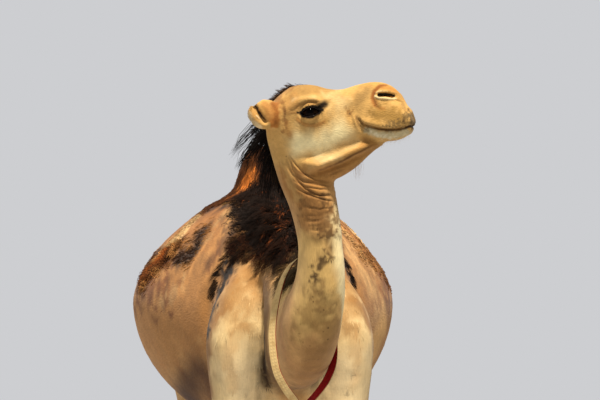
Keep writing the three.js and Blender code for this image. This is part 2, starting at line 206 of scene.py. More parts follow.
@dataclass(frozen=True)
class Loft:
    """A closed form through stations [x, y, z, reach up, reach down, half width, pear], in millimetres.

    Each section's upper and lower halves are superellipses: reach * |cos|^(2/n) and width * |sin|^(2/n).
    Level sections stand upright; others are square to the centre line. Each end is a dome.
    """

    stations: tuple
    turns: tuple = (0.0,)
    level: bool = False
    domes: tuple[float, float] = (40, 40)
    upper: float = 2.0
    lower: float = 2.0
    thinnest: float = 5.0

    def mirrored(self) -> "Loft":
        """The same form on the other side."""
        rows = tuple((-s[0], *s[1:]) for s in self.stations)
        return Loft(rows, self.turns, self.level, self.domes, self.upper, self.lower)

    def frames(self, t: Array, grow: float = 0.0) -> tuple[Array, Array, Array, Array, Array, Array]:
        """Centres, along, up and side directions, reaches and pear of the sections at t."""
        table = np.array([s if len(s) == 7 else (*s, 0) for s in self.stations], float)
        turns = np.array(self.turns if len(self.turns) > 1 else self.turns * len(table), float)
        centre = spline(table[:, :3], t)
        sizes = np.maximum(spline(table[:, 3:6], t) + grow, self.thinnest)
        pear = spline(table[:, 6:7], t)[:, 0]
        turn = np.radians(spline(turns[:, None], t)[:, 0])
        tangent = unit(spline(table[:, :3], t + NEXT) - spline(table[:, :3], t - NEXT))
        side = np.stack([np.cos(turn), np.sin(turn), 0 * turn], axis=1)
        if self.level:
            up = np.tile([0.0, 0.0, 1.0], (len(t), 1))
            return centre + SOLID_SHIFT, np.cross(side, up), up, side, sizes, pear
        side = unit(side - (side * tangent).sum(1, keepdims=True) * tangent)
        return centre + SOLID_SHIFT, tangent, np.cross(tangent, side), side, sizes, pear

    def rings(self, around: int, rows: int, grow: float = 0.0) -> Array:
        """The form's surface as rings of points, domes included, in metres."""
        first = DOME if self.domes[0] > 0 else DOME[:0]
        last = DOME[::-1] if self.domes[1] > 0 else DOME[:0]
        t = np.concatenate([0 * first, np.linspace(0, 1, rows + 1), 0 * last + 1])
        flat = np.zeros(rows + 1)
        push = np.concatenate([-np.sin(first) * (self.domes[0] + grow), flat,
                               np.sin(last) * (self.domes[1] + grow)])
        scale = np.concatenate([np.cos(first), flat + 1, np.cos(last)])
        centre, along, up, side, sizes, pear = self.frames(t, grow)
        angle = -circle(around)
        cos, sin = np.cos(angle)[None], np.sin(angle)[None]
        bend = np.where(cos > 0, 2 / self.upper, 2 / self.lower)
        reach = np.where(cos > 0, sizes[:, :1], sizes[:, 1:2]) * np.sign(cos) * np.abs(cos) ** bend
        across = sizes[:, 2:3] * np.sign(sin) * np.abs(sin) ** bend * (1 + pear[:, None] * cos)
        reach, across = reach * scale[:, None], across * scale[:, None]
        middle = (centre + along * push[:, None])[:, None]
        return (middle + up[:, None] * reach[..., None] + side[:, None] * across[..., None]) * MM

    def locate(self, points: Array) -> tuple[Array, Array, Array]:
        """For points in metres: distance from the axis over the reach there, place along, angle around."""
        t = np.linspace(0, 1, PROBES)
        centre, along, up, side, sizes, _ = self.frames(t)
        rows = points / MM
        mean = sizes.mean(axis=1)
        gap = np.linalg.norm(rows[:, None] - centre[None], axis=2) / mean[None]
        k = gap.argmin(axis=1)
        rel = rows - centre[k]
        x, y, z = (rel * side[k]).sum(1), (rel * up[k]).sum(1), (rel * along[k]).sum(1)
        reach = np.where(y > 0, sizes[k, 0], sizes[k, 1])
        ratio = np.sqrt((x / sizes[k, 2]) ** 2 + (y / reach) ** 2 + (z / mean[k]) ** 2 * 0.3)
        return ratio, np.clip(t[k] + z / mean[k] * 0.02, 0, 1), np.arctan2(x / sizes[k, 2], y / reach)


TRUNK = Loft((
    (-5, 850, 1400, 150, 130, 128), (-5, 760, 1425, 205, 200, 220), (-5, 600, 1450, 262, 285, 312),
    (-5, 400, 1455, 335, 372, 412), (-5, 190, 1450, 394, 436, 462), (-5, -20, 1442, 400, 448, 430),
    (-5, -220, 1425, 392, 438, 350), (-5, -420, 1400, 372, 398, 256), (-5, -560, 1385, 300, 318, 165),
    (-5, -670, 1370, 195, 220, 98),
), level=True, domes=(40, 50), upper=1.62, lower=1.95)
HUMP = Loft((
    (0, 110, 1640, 330, 320, 235), (2, 105, 1740, 330, 310, 205), (4, 95, 1830, 250, 235, 133),
    (6, 85, 1900, 185, 165, 120), (6, 75, 1958, 115, 105, 95),
), domes=(20, 52))
BRISKET = Loft(((0, -400, 1060, 95, 110, 78), (0, -400, 962, 88, 100, 66)), domes=(20, 24), upper=2.4,
               lower=2.4)
NECK = Loft((
    (-4, -500, 1440, 290, 325, 155, -0.1), (-2, -680, 1385, 225, 252, 118, -0.15),
    (2, -850, 1352, 175, 190, 100, -0.2), (8, -990, 1388, 138, 152, 95, -0.15),
    (24, -1076, 1490, 114, 120, 80, -0.05), (20, -1118, 1610, 98, 98, 69), (-2, -1132, 1725, 90, 88, 65),
    (-34, -1138, 1835, 90, 94, 66), (-60, -1136, 1930, 88, 90, 64),
), turns=(0, 0, 0, 3, 9, 18, 32, 52, 65.5), domes=(30, 40))
MANE = Loft((
    (0, -350, 1770, 42, 120, 112), (0, -480, 1730, 50, 125, 118), (0, -620, 1632, 56, 118, 104),
    (2, -770, 1547, 54, 90, 86), (6, -895, 1528, 42, 70, 62), (22, -975, 1585, 36, 50, 50),
    (10, -1020, 1685, 34, 45, 46), (-35, -1048, 1795, 44, 45, 44), (-98, -1077, 1900, 68, 50, 46),
    (-134, -1094, 1985, 52, 50, 44), (-118, -1115, 2056, 30, 44, 40), (-62, -1140, 2090, 20, 40, 34),
), turns=(0, 0, 0, 0, 0, 9, 18, 32, 52, 65.5, 65.5, 65.5), domes=(30, 20), thinnest=8.0)
TAIL = Loft((
    (0, 850, 1530, 40, 40, 42), (0, 896, 1450, 30, 30, 33), (0, 912, 1330, 23, 24, 26),
    (0, 906, 1200, 20, 20, 24), (0, 898, 1080, 24, 24, 34), (0, 894, 985, 18, 18, 24),
), domes=(20, 40))
FORE_LEG = Loft((
    (105, -450, 1585, 85, 140, 42), (136, -490, 1495, 115, 165, 58), (163, -518, 1420, 122, 150, 82),
    (181, -532, 1345, 130, 146, 90), (189, -538, 1285, 130, 140, 92), (181, -545, 1120, 104, 115, 82),
    (172, -550, 990, 80, 88, 68), (163, -555, 830, 61, 66, 56), (158, -560, 690, 56, 56, 53),
    (157, -563, 610, 64, 56, 62), (156, -561, 530, 54, 48, 54), (156, -557, 440, 37, 38, 37),
    (156, -556, 310, 34, 38, 35), (157, -558, 200, 44, 48, 48), (158, -566, 100, 56, 54, 62),
), domes=(30, 20))
HIND_LEG = Loft((
    (150, 620, 1530, 140, 160, 80), (186, 570, 1410, 205, 215, 118), (198, 520, 1265, 200, 215, 118),
    (188, 530, 1110, 138, 158, 94), (171, 588, 950, 90, 102, 70), (158, 655, 800, 60, 64, 52),
    (151, 700, 680, 54, 52, 48), (149, 694, 580, 46, 46, 44), (148, 668, 460, 36, 38, 36),
    (148, 644, 330, 34, 37, 34), (149, 622, 210, 42, 44, 44), (150, 602, 100, 52, 50, 54),
), domes=(30, 20))


@dataclass(frozen=True)
class FootPad:
    """A broad two-toed pad: where it stands and how large it is, in millimetres."""

    x: float
    y: float
    length: float
    width: float
    height: float
    set_back: float = 14

    def loft(self) -> Loft:
        """The pad from its flat sole up into the ankle."""
        half, y, wide = self.length / 2, self.y - self.set_back, self.width
        rows = ((self.x, self.y - 12, self.height + 34, half * 0.4, half * 0.42, wide * 0.28),
                (self.x, y, self.height, half * 0.68, half * 0.66, wide * 0.4),
                (self.x, y, self.height * 0.5, half * 0.95, half * 0.92, wide * 0.49),
                (self.x, y, 10, half, half * 0.95, wide * 0.5),
                (self.x, y, 0.5, half * 0.97, half * 0.93, wide * 0.48))
        return Loft(rows, domes=(0, 0), upper=2.3)


FORE_FOOT = FootPad(158, -560, 205, 182, 78)
HIND_FOOT = FootPad(150, 600, 180, 158, 74)


def head_rows(rows: tuple) -> tuple:
    """Head stations [along, top, bottom, widest height, half width, pear] as loft stations."""
    made = []
    for along, top, bottom, widest, side, pear in rows:
        x, y, _ = HEAD.station(along, 0, widest)
        made.append((x, y, widest, top - widest, widest - bottom, side, pear))
    return tuple(made)


SKULL = Loft(head_rows((
    (24, 2050, 1890, 1985, 62, 0.1), (56, 2074, 1862, 1990, 76, 0.15), (92, 2096, 1840, 1995, 88, 0.2),
    (130, 2102, 1832, 2000, 95, 0.25), (165, 2099, 1838, 2000, 92, 0.3), (205, 2086, 1850, 1985, 74, 0.25),
    (250, 2083, 1868, 1972, 60, 0.15), (298, 2095, 1890, 1968, 54, 0.12), (342, 2103, 1915, 1975, 55, 0.12),
    (380, 2100, 1918, 1980, 60, 0.1), (412, 2084, 1920, 1980, 57, 0.05), (438, 2056, 1926, 1978, 50, 0),
    (458, 2024, 1936, 1976, 38, 0),
)), turns=(65.5,), level=True, domes=(16, 18), upper=2.2, lower=2.1)
THROAT = Loft(head_rows((
    (150, 1900, 1790, 1850, 58, 0), (215, 1900, 1800, 1860, 50, 0), (275, 1920, 1829, 1880, 42, 0),
    (330, 1945, 1872, 1905, 34, 0), (366, 1955, 1903, 1925, 24, 0),
)), turns=(65.5,), level=True, domes=(20, 16))
UPPER_LIP = Loft(head_rows((
    (395, 2010, 1948, 1985, 52, 0), (430, 2010, 1944, 1978, 50, 0), (452, 2000, 1951, 1975, 42, 0),
)), turns=(65.5,), level=True, domes=(12, 17))


def ear_loft(side: int) -> Loft:
    """The rounded leaf of one ear, on the camel's left (1) or right (-1)."""
    line = ((66, 66, 2003, 32, 16), (44, 84, 2003, 46, 20), (16, 104, 2003, 46, 19), (-8, 114, 2008, 26, 11))
    rows = []
    for along, out, height, reach, thick in line:
        rows.append((*HEAD.station(along, side * out, height), reach, reach, thick, 0))
    return Loft(tuple(rows), turns=(65.5,), domes=(12, 12))


REGIONS: tuple[Loft, ...] = (
    TRUNK, NECK, HUMP, SKULL, FORE_LEG, FORE_LEG.mirrored(), HIND_LEG, HIND_LEG.mirrored(),
    MANE, TAIL, ear_loft(1), ear_loft(-1), FORE_FOOT.loft(), FORE_FOOT.loft().mirrored(),
    HIND_FOOT.loft(), HIND_FOOT.loft().mirrored(),
)


# ---------- meshes ----------
def linked(name: str, data: bpy.types.ID) -> bpy.types.Object:
    """A new object of this data, placed in the scene."""
    made = bpy.data.objects.new(name, data)
    bpy.context.scene.collection.objects.link(made)
    return made


def shade_smooth(mesh: bpy.types.Mesh) -> None:
    """Shades every face smooth."""
    mesh.polygons.foreach_set("use_smooth", np.ones(len(mesh.polygons), bool))


def mesh_of(name: str, points: Array, faces: Array) -> bpy.types.Object:
    """A new object from rows of points and rows of equally many corners, smooth shaded."""
    mesh = bpy.data.meshes.new(name)
    mesh.vertices.add(len(points))
    mesh.vertices.foreach_set("co", np.ascontiguousarray(points, np.float32).ravel())
    corners = faces.shape[1]
    mesh.loops.add(faces.size)
    mesh.loops.foreach_set("vertex_index", np.ascontiguousarray(faces, np.int32).ravel())
    mesh.polygons.add(len(faces))
    mesh.polygons.foreach_set("loop_start", np.arange(0, faces.size, corners, dtype=np.int32))
    mesh.update(calc_edges=True)
    mesh.validate()
    shade_smooth(mesh)
    return linked(name, mesh)


def set_colour(obj: bpy.types.Object, name: str, colours: Array) -> None:
    """Gives each vertex a linear colour in an attribute of this name."""
    layer = obj.data.color_attributes.new(name, "FLOAT_COLOR", "POINT")
    rgba = np.ones((len(obj.data.vertices), 4), np.float32)
    rgba[:, :colours.shape[1]] = colours
    layer.data.foreach_set("color", rgba.ravel())


def set_value(obj: bpy.types.Object, name: str, values: Array) -> None:
    """Gives each vertex a number in an attribute of this name."""
    layer = obj.data.attributes.new(name, "FLOAT", "POINT")
    layer.data.foreach_set("value", values.astype(np.float32))


def set_map(obj: bpy.types.Object, name: str, places: Array) -> None:
    """Gives a piece a UV map from one place a vertex."""
    layer = obj.data.uv_layers.new(name=name)
    corners = np.empty(len(obj.data.loops), np.int32)
    obj.data.loops.foreach_get("vertex_index", corners)
    layer.data.foreach_set("uv", places[corners].astype(np.float32).ravel())


def grid_faces(rows: int, around: int, wrap_rows: bool = False) -> Array:
    """Quads of a grid of points that closes round its second direction, and its first if asked."""
    last = rows if wrap_rows else rows - 1
    i, j = np.meshgrid(np.arange(last), np.arange(around), indexing="ij")
    a = i * around + j
    b = i * around + (j + 1) % around
    down = ((i + 1) % rows - i) * around
    return np.stack([a, b, b + down, a + down], axis=-1).reshape(-1, 4)


def closed_tube(rings: Array) -> tuple[Array, Array]:
    """Points and triangles of rings of points, with each end closed to its middle."""
    rows, around, _ = rings.shape
    points = np.concatenate([rings.reshape(-1, 3), rings[:1].mean(1), rings[-1:].mean(1)])
    quads = grid_faces(rows, around)
    ring = np.arange(around)
    nxt = (ring + 1) % around
    first, last = rows * around, rows * around + 1
    base = (rows - 1) * around
    ends = np.concatenate([np.stack([np.full(around, first), nxt, ring], 1),
                           np.stack([np.full(around, last), base + ring, base + nxt], 1)])
    return points, np.concatenate([quads[:, [0, 1, 2]], quads[:, [0, 2, 3]], ends])


def joined(parts: list[tuple[Array, Array]]) -> tuple[Array, Array]:
    """One set of points and faces from several."""
    starts = np.cumsum([0] + [len(points) for points, _ in parts[:-1]])
    return (np.concatenate([points for points, _ in parts]),
            np.concatenate([faces + start for (_, faces), start in zip(parts, starts)]))


def fused(name: str, parts: list[tuple[Array, Array]], voxel: float) -> bpy.types.Object:
    """The outer surface of overlapping closed forms, remeshed to even squares of the voxel's size."""
    raw = mesh_of(name + "_raw", *joined(parts))
    remesh = raw.modifiers.new("Fuse", "REMESH")
    remesh.mode = "VOXEL"
    remesh.voxel_size = voxel
    graph = bpy.context.evaluated_depsgraph_get()
    made = linked(name, bpy.data.meshes.new_from_object(raw.evaluated_get(graph)))
    bpy.data.objects.remove(raw)
    return made


class Surface:
    """The points, edges and triangles of a mesh as arrays, for smoothing and carving."""

    def __init__(self, mesh: bpy.types.Mesh) -> None:
        """Reads a mesh."""
        self.mesh = mesh
        self.points = np.empty(len(mesh.vertices) * 3, np.float32)
        mesh.vertices.foreach_get("co", self.points)
        self.points = self.points.reshape(-1, 3).astype(float)
        self.edges = np.empty(len(mesh.edges) * 2, np.int32)
        mesh.edges.foreach_get("vertices", self.edges)
        self.edges = self.edges.reshape(-1, 2)
        mesh.calc_loop_triangles()
        self.tris = np.empty(len(mesh.loop_triangles) * 3, np.int32)
        mesh.loop_triangles.foreach_get("vertices", self.tris)
        self.tris = self.tris.reshape(-1, 3)
        ends = np.concatenate([self.edges[:, 0], self.edges[:, 1]])
        self.valence = np.maximum(np.bincount(ends, minlength=len(self.points)), 1)

    def neighbour_mean(self, values: Array) -> Array:
        """Each vertex's mean of its neighbours' values."""
        a, b = self.edges.T
        count = len(self.points)
        columns = [(np.bincount(a, values[b, k], count) + np.bincount(b, values[a, k], count)) / self.valence
                   for k in range(values.shape[1])]
        return np.stack(columns, axis=1)

    def relax(self, rounds: int, amount: Array | float = 0.5, keep_size: bool = True) -> None:
        """Moves points to their neighbours' mean, and back a little more, so that limbs keep their girth."""
        share = np.asarray(amount)
        share = share[:, None] if share.ndim else share
        for _ in range(rounds):
            self.points += share * (self.neighbour_mean(self.points) - self.points)
            if keep_size:
                self.points -= 1.04 * share * (self.neighbour_mean(self.points) - self.points)

    def face_normals(self) -> Array:
        """Triangle normals, as long as twice the area."""
        a, b, c = (self.points[self.tris[:, k]] for k in range(3))
        return np.cross(b - a, c - a)

    def normals(self) -> Array:
        """Vertex normals, weighted by area."""
        faces = self.face_normals()
        count = len(self.points)
        corners = self.tris.T
        summed = [sum(np.bincount(corner, faces[:, axis], count) for corner in corners) for axis in range(3)]
        return unit(np.stack(summed, axis=1))

    def write(self) -> None:
        """Puts the points back into the mesh."""
        self.mesh.vertices.foreach_set("co", self.points.astype(np.float32).ravel())
        self.mesh.update()


# ---------- folds ----------
@dataclass(frozen=True)
class Fold:
    """A ridge along a line, or a groove where height is below 0.

    It rises by height * exp(-(distance / width)^2), less towards the line's ends.
    """

    path: tuple
    width: float
    height: float
    space: Space = Space.HEAD
    side: Side = Side.BOTH
    fade: bool = True

    def lift(self, points: Array) -> Array:
        """How far each point in metres moves along its normal, in millimetres."""
        rows = in_space(points, self.space, self.side)
        path = np.array(self.path, float) * WEIGHTS[self.space]
        near = np.abs(rows - path.mean(0)).max(1) < np.ptp(path, axis=0).max() + 3 * self.width
        lift = np.zeros(len(points))
        gap, place = line_distance(rows[near], path)
        ends = np.sin(np.pi * (0.08 + 0.84 * place)) ** 0.7 if self.fade and len(path) > 1 else 1.0
        lift[near] = self.height * np.exp(-(gap / self.width) ** 2) * ends
        return lift


HEAD_FORMS: tuple[Fold, ...] = (
    # bones: brow, orbit, cheek bone, jaw
    Fold(((112, 84, 2026), (145, 86, 2043), (180, 80, 2046), (212, 66, 2040)), 13, 7),
    Fold(((136, 92, 1984), (175, 88, 1978), (228, 70, 1990)), 13, 3.5),
    Fold(((84, 84, 2036), (116, 84, 2056)), 20, -5),
    Fold(((262, 58, 2000), (300, 55, 2012)), 20, -3.5),
    Fold(((150, 72, 1915), (205, 66, 1900)), 44, 5),
    Fold(((138, 52, 1856), (188, 49, 1845), (253, 44, 1871), (314, 38, 1898), (362, 34, 1914)), 12, 9),
    Fold(((160, 50, 1820), (206, 44, 1829), (262, 36, 1849), (326, 30, 1877), (350, 26, 1893)), 8, -9),
    Fold(((250, 46, 1905), (300, 46, 1925), (330, 46, 1936)), 14, -3),
    Fold(((250, 20, 2080), (330, 24, 2096)), 20, 1.5),
    Fold(((100, 0, 2104), (190, 0, 2092)), 16, -2.5),
    # muzzle: nostril swelling, lips, chin
    Fold(((386, 44, 2062), (408, 38, 2060)), 22, 5),
    Fold(((345, 52, 1944), (385, 47, 1931), (425, 38, 1930)), 13, 5),
    Fold(((322, 55, 1982), (352, 56, 1976), (390, 53, 1966), (430, 46, 1964)), 11, 4),
    Fold(((318, 56, 1962), (330, 55, 1944), (350, 48, 1921), (378, 36, 1909)), 8, -5),
    Fold(((430, 36, 2020), (448, 30, 1990), (452, 28, 1968)), 14, 4),
)
MOUTH = ((316, 57, 1984), (320, 56, 1977), (328, 56, 1968), (350, 55, 1961), (378, 53, 1954), (405, 50, 1951),
         (432, 46, 1952), (453, 38, 1956), (466, 22, 1962), (472, 0, 1966))
NOSTRIL = ((378, 50, 2058), (400, 48, 2058), (420, 45, 2055))
NOSTRIL_TAIL = ((420, 45, 2055), (440, 38, 2051), (454, 26, 2046))
HEAD_FOLDS: tuple[Fold, ...] = (
    # nostril: the ring groove, the fold over the slit, the pale rim under it
    Fold(((392, 30, 2092), (374, 40, 2086), (360, 50, 2070), (356, 56, 2048), (364, 60, 2026),
          (382, 60, 2012)), 6.5, -5),
    Fold(((366, 48, 2066), (386, 45, 2070), (406, 40, 2069), (428, 32, 2062), (446, 22, 2050)), 5.2, 5),
    Fold(((364, 54, 2054), (379, 54, 2048), (405, 50, 2045), (432, 44, 2046)), 4.2, 4.5),
    Fold(((390, 30, 2096), (414, 22, 2090), (434, 18, 2076), (448, 12, 2058)), 4.5, -3.5),
    Fold(((430, 40, 2042), (446, 30, 2036), (452, 24, 2018), (460, 18, 1998)), 4.0, -4.5),
    # the cleft at the front of the upper lip and the lobe beside it
    Fold(((456, 0, 2040), (470, 0, 2005), (478, 0, 1975), (474, 0, 1955)), 3, -6),
    Fold(((444, 30, 1998), (454, 28, 1984), (455, 26, 1962)), 5, -5),
    Fold(((462, 20, 1990), (468, 16, 1972)), 10, 5),
    # mouth
    Fold(MOUTH, 3.6, -10, fade=False),
    Fold(((324, 56, 1984), (348, 56, 1972), (378, 54, 1965), (408, 50, 1961), (436, 44, 1962)), 7, 3.5),
    Fold(((308, 56, 1990), (313, 57, 1976), (318, 57, 1960), (330, 56, 1946)), 4.5, -4.5),
    Fold(((298, 54, 1994), (304, 56, 1976), (309, 56, 1958)), 5, 3.5),
    Fold(((290, 54, 1998), (296, 56, 1980), (301, 56, 1960)), 4, -2.0),
    # round the eye: rings under it, the crease over the upper lid and the hollow in front
    Fold(((130, 98, 1990), (148, 98, 1976), (172, 94, 1971), (198, 86, 1978), (212, 78, 1990)), 3.0, -2.6),
    Fold(((122, 97, 1984), (142, 96, 1967), (172, 92, 1961), (204, 82, 1967)), 3.0, -2.0),
    Fold(((116, 97, 1976), (138, 96, 1957), (168, 92, 1951)), 3.0, -1.2),
    Fold(((122, 93, 2014), (140, 91, 2030), (168, 87, 2037), (196, 80, 2038)), 3.8, -3.2),
    Fold(((206, 78, 2016), (220, 70, 2028), (226, 64, 2042)), 8, -4),
    Fold(((118, 96, 2002), (98, 92, 1998)), 2.6, -1.6),
    Fold(((120, 96, 2011), (102, 92, 2018)), 2.6, -1.4),
    # front of the ear's root
    Fold(((84, 88, 2030), (88, 90, 2000), (84, 90, 1966)), 5, -4),
    Fold(((62, 88, 2040), (70, 90, 2014), (66, 90, 1984)), 6, 3),
)


def fold_family(first: tuple, last: tuple, count: int, width: float, height: float,
                side: Side = Side.BOTH) -> tuple[Fold, ...]:
    """Folds that change evenly from a first line to a last one, each a little off its place."""
    start, end = np.array(first, float), np.array(last, float)
    made = []
    for k in range(count):
        share = k / max(count - 1, 1)
        sway = 5.0 * np.sin(np.arange(len(start)) * 1.3 + 2.4 * k * k)[:, None] * np.array([1.0, 0, 1.0])
        made.append(Fold(tuple(map(tuple, start + (end - start) * share + sway)),
                         width * (0.8 + 0.4 * (k % 3) / 2), height * (1 - 0.35 * (k % 2)), side=side))
    return tuple(made)


THROAT_FOLDS: tuple[Fold, ...] = (
    *fold_family(((92, 57, 1882), (104, 56, 1850), (134, 52, 1822), (176, 42, 1806), (226, 24, 1802)),
                 ((66, 46, 1830), (104, 52, 1782), (148, 44, 1752), (196, 30, 1738), (226, 12, 1740)), 7, 3.6,
                 -5.0),
    *fold_family(((98, 57, 1874), (112, 56, 1844), (150, 52, 1818)),
                 ((82, 52, 1840), (108, 52, 1806), (150, 46, 1782)), 3, 2.6, -3.0),
    *fold_family(((66, 50, 1862), (78, 50, 1820), (104, 50, 1770), (126, 44, 1716)),
                 ((46, 36, 1860), (56, 34, 1810), (78, 34, 1750), (100, 28, 1690)), 6, 3.2, -3.0),
    *fold_family(((80, 40, 1748), (130, 42, 1716), (184, 34, 1710), (224, 12, 1722)),
                 ((96, 30, 1664), (140, 34, 1648), (180, 26, 1650), (214, 8, 1662)), 5, 3.6, -2.4),
    Fold(((204, 40, 1812), (230, 28, 1822), (262, 18, 1836)), 4, -4),
    Fold(((214, 34, 1790), (234, 20, 1798), (250, 8, 1806)), 4, -3),
)
BODY_FOLDS: tuple[Fold, ...] = (
    # where the arm leaves the chest and the flank, and its own muscles
    Fold(((112, -420, 1520), (117, -474, 1430), (119, -486, 1345), (115, -466, 1249), (106, -420, 1150)), 15,
         -24, B),
    Fold(((112, -420, 1520), (118, -478, 1430), (121, -492, 1345), (117, -470, 1249), (106, -420, 1150)), 34,
         -9, B),
    Fold(((150, -452, 1440), (156, -470, 1345), (150, -462, 1240), (140, -448, 1160)), 22, 7, B),
    Fold(((258, -210, 1500), (274, -232, 1330), (262, -250, 1180)), 30, -18, B),
    Fold(((196, -470, 1440), (222, -452, 1300), (204, -440, 1180)), 30, 8, B),
    Fold(((190, -470, 1400), (206, -466, 1330), (222, -462, 1297), (214, -456, 1216), (190, -450, 1160)), 12,
         -7, B),
    Fold(((226, -440, 1400), (233, -440, 1345), (226, -456, 1290)), 6, -5, B),
    Fold(((120, -440, 1122), (160, -450, 1140), (206, -440, 1130)), 10, -8, B),
    Fold(((60, -640, 1230), (66, -700, 1262), (72, -760, 1330), (72, -780, 1400)), 16, -6, B),
    Fold(((240, -300, 1490), (250, -330, 1400), (250, -350, 1320)), 26, 7, B),
    # elbow, knee and hock, heel tendons
    Fold(((166, -250, 1130), (176, -262, 1070)), 30, 8, B),
    Fold(((160, -425, 640), (160, -424, 590)), 28, 5, B),
    Fold(((150, 955, 690), (150, 950, 640)), 20, 5, B),
    Fold(((196, 640, 1180), (180, 700, 1020)), 26, -6, B),
    # flank hollow and hip
    Fold(((300, 560, 1420), (262, 600, 1300)), 60, -14, B),
    Fold(((170, 640, 1640), (200, 700, 1600)), 60, 8, B),
    Fold(((0, 420, 1800), (0, 980, 1640)), 36, 6, B, L),
    # cleft between the toes
    Fold(((163, -500, 60), (163, -486, 24), (163, -470, 0)), 12, -12, B, fade=False),
    Fold(((155, 660, 60), (155, 678, 24), (155, 690, 0)), 12, -10, B, fade=False),
)


# ---------- eyes ----------
@dataclass(frozen=True)
class EyeSocket:
    """One eye's place and axes, and the almond opening between its lids, in millimetres.

    The lids' edges are top * (1 - u^2)^0.75 and -bottom * (1 - u^2)^0.8, with u = place / half width.
    """

    side: int
    radius: float = 24.0
    along: float = 168.0
    out: float = 76.0
    height: float = 2006.0
    half_width: float = 29.0
    top: float = 13.5
    bottom: float = 15.5
    tilt: float = 0.14
    lid: float = 2.6  # thickness of a lid over the eyeball
    pocket: float = 4.5  # how far the skin lies under the eyeball's surface in the opening
    melt: float = 2.4  # width over which the lids run into the face

    def centre(self) -> Array:
        """The eyeball's centre, in metres."""
        return HEAD.outward(np.array([[self.along, self.side * self.out, self.height]]))[0]

    def axes(self) -> Array:
        """Rows are the forward, upward and outward directions of the eye."""
        along, left, up = HEAD.basis()
        outward = unit(left * self.side * 0.95 + along * 0.26 + up * 0.1)
        forward = unit(along - (along @ outward) * outward)
        upward = unit(up - (up @ outward) * outward - (up @ forward) * forward)
        return np.array([forward, upward, outward])

    def local(self, points: Array) -> Array:
        """Metres in the model's frame to millimetres on the eye's own axes."""
        return (points - self.centre()) / MM @ self.axes().T

    def world(self, rows: Array) -> Array:
        """Millimetres on the eye's own axes to metres in the model's frame."""
        return rows @ self.axes() * MM + self.centre()

    def edges(self, place: Array) -> tuple[Array, Array]:
        """Heights of the upper and lower lid edges at a place along the opening."""
        u2 = np.clip(1 - (place / self.half_width) ** 2, 0, 1)
        return self.top * u2 ** 0.75 + self.tilt * place, -self.bottom * u2 ** 0.8 + self.tilt * place

    def carve(self, points: Array) -> Array:
        """The skin's points after the lids are drawn over the eyeball and the opening is sunk under it."""
        rows = self.local(points)
        a, b, c = rows.T
        r = np.hypot(a, b)
        near = (r < 52) & (c > -16)
        upper, lower = self.edges(a)
        inside = np.minimum(upper - b, b - lower)
        inside = np.where(np.abs(a) < self.half_width, inside, -np.abs(np.abs(a) - self.half_width))
        shell = self.radius + self.lid
        lid = np.sqrt(np.maximum(shell ** 2 - r ** 2, 0))
        pocket = np.sqrt(np.maximum((self.radius - self.pocket) ** 2 - r ** 2, 0))
        face = c - 3.0 * np.exp(-((r - 30) / 6) ** 2)
        over = np.where(r < shell, np.logaddexp(face / self.melt, lid / self.melt) * self.melt, face)
        share = smooth_step(0.0, 1.8, inside)
        wanted = over * (1 - share) + pocket * share
        moved = rows.copy()
        moved[near, 2] = wanted[near]
        return self.world(moved)

    def darkness(self, points: Array) -> Array:
        """How dark the skin round the opening is: along both lids, out at the corners, and painted shadow up
        in front.
        """
        rows = self.local(points)
        dark = np.zeros(len(points))
        near = (np.abs(rows[:, :2]).max(1) < 62) & (rows[:, 2] > -8)
        flat = rows[near] * [1, 1, 0]
        ring = self.lid_line(40, 0.0) * [1, 1, 0]
        gap = line_distance(flat, np.vstack([ring, ring[:1]]))[0] + 1.6 * noise(flat, 5.0, 4, 2)
        upper, lower = self.edges(flat[:, 0])
        inside = (flat[:, 1] < upper) & (flat[:, 1] > lower) & (np.abs(flat[:, 0]) < self.half_width)
        tone = np.where(inside, 1.0, smooth_step(7.4, 2.2, gap))
        wide = self.half_width
        # dark streaks off the opening: from, to, how wide; the two up in front are painted shadow under the
        # brow and lashes
        smears = (((-wide + 4, -4), (-wide - 10, -1), 5.0), ((wide - 6, 3), (wide + 8, 8), 9.5),
                  ((12, 14), (28, 17), 12.0), ((30, 17), (42, 26), 17.0))
        for start, end, reach in smears:
            line = np.array([(*start, 0.0), (*end, 0.0)])
            away = line_distance(flat, line)[0] + 2.6 * noise(flat, 6.0, 5, 3)
            tone = np.maximum(tone, 0.97 * smooth_step(reach, reach * 0.2, away))
        dark[near] = tone
        return dark

    def lid_line(self, count: int, lift: float) -> Array:
        """Points round the opening's edge, lifted off the eyeball, in millimetres on the eye's axes."""
        angle = circle(count)
        place = self.half_width * np.cos(angle)
        upper, lower = self.edges(place)
        height = np.where(np.sin(angle) > 0, upper, lower)
        depth = np.sqrt(np.maximum((self.radius + lift) ** 2 - place ** 2 - height ** 2, 1))
        return np.stack([place, height, depth], axis=1)


EYES = {"left": EyeSocket(1), "right": EyeSocket(-1)}


# ---------- the skin ----------
JAW_LINE = np.array([[150, 52, 1843], [188, 49, 1840], [253, 44, 1866], [314, 38, 1893], [362, 34, 1912]],
                    float)
THROAT_LINE = np.array([[70, 44, 1850], [130, 50, 1795], [200, 30, 1770]], float)
NOSTRIL_LINE = np.array([[368, 50, 2057], [400, 48, 2058], [440, 36, 2050]], float)
MOUTH_LINE = np.array(MOUTH, float)
EAR_LINE = np.array([[4, 122, 2024], [36, 116, 1980]], float)
# How near these, in mm, the mesh is split at the first and at the second level.
FINE_EYE = (48, 36)
FINE_LINES = ((NOSTRIL_LINE, (24, 11)), (MOUTH_LINE, (14, 0)), (EAR_LINE, (20, 0)))
FINE_RIGHT = ((JAW_LINE, 20), (THROAT_LINE, 60))  # at the first level only, on the right


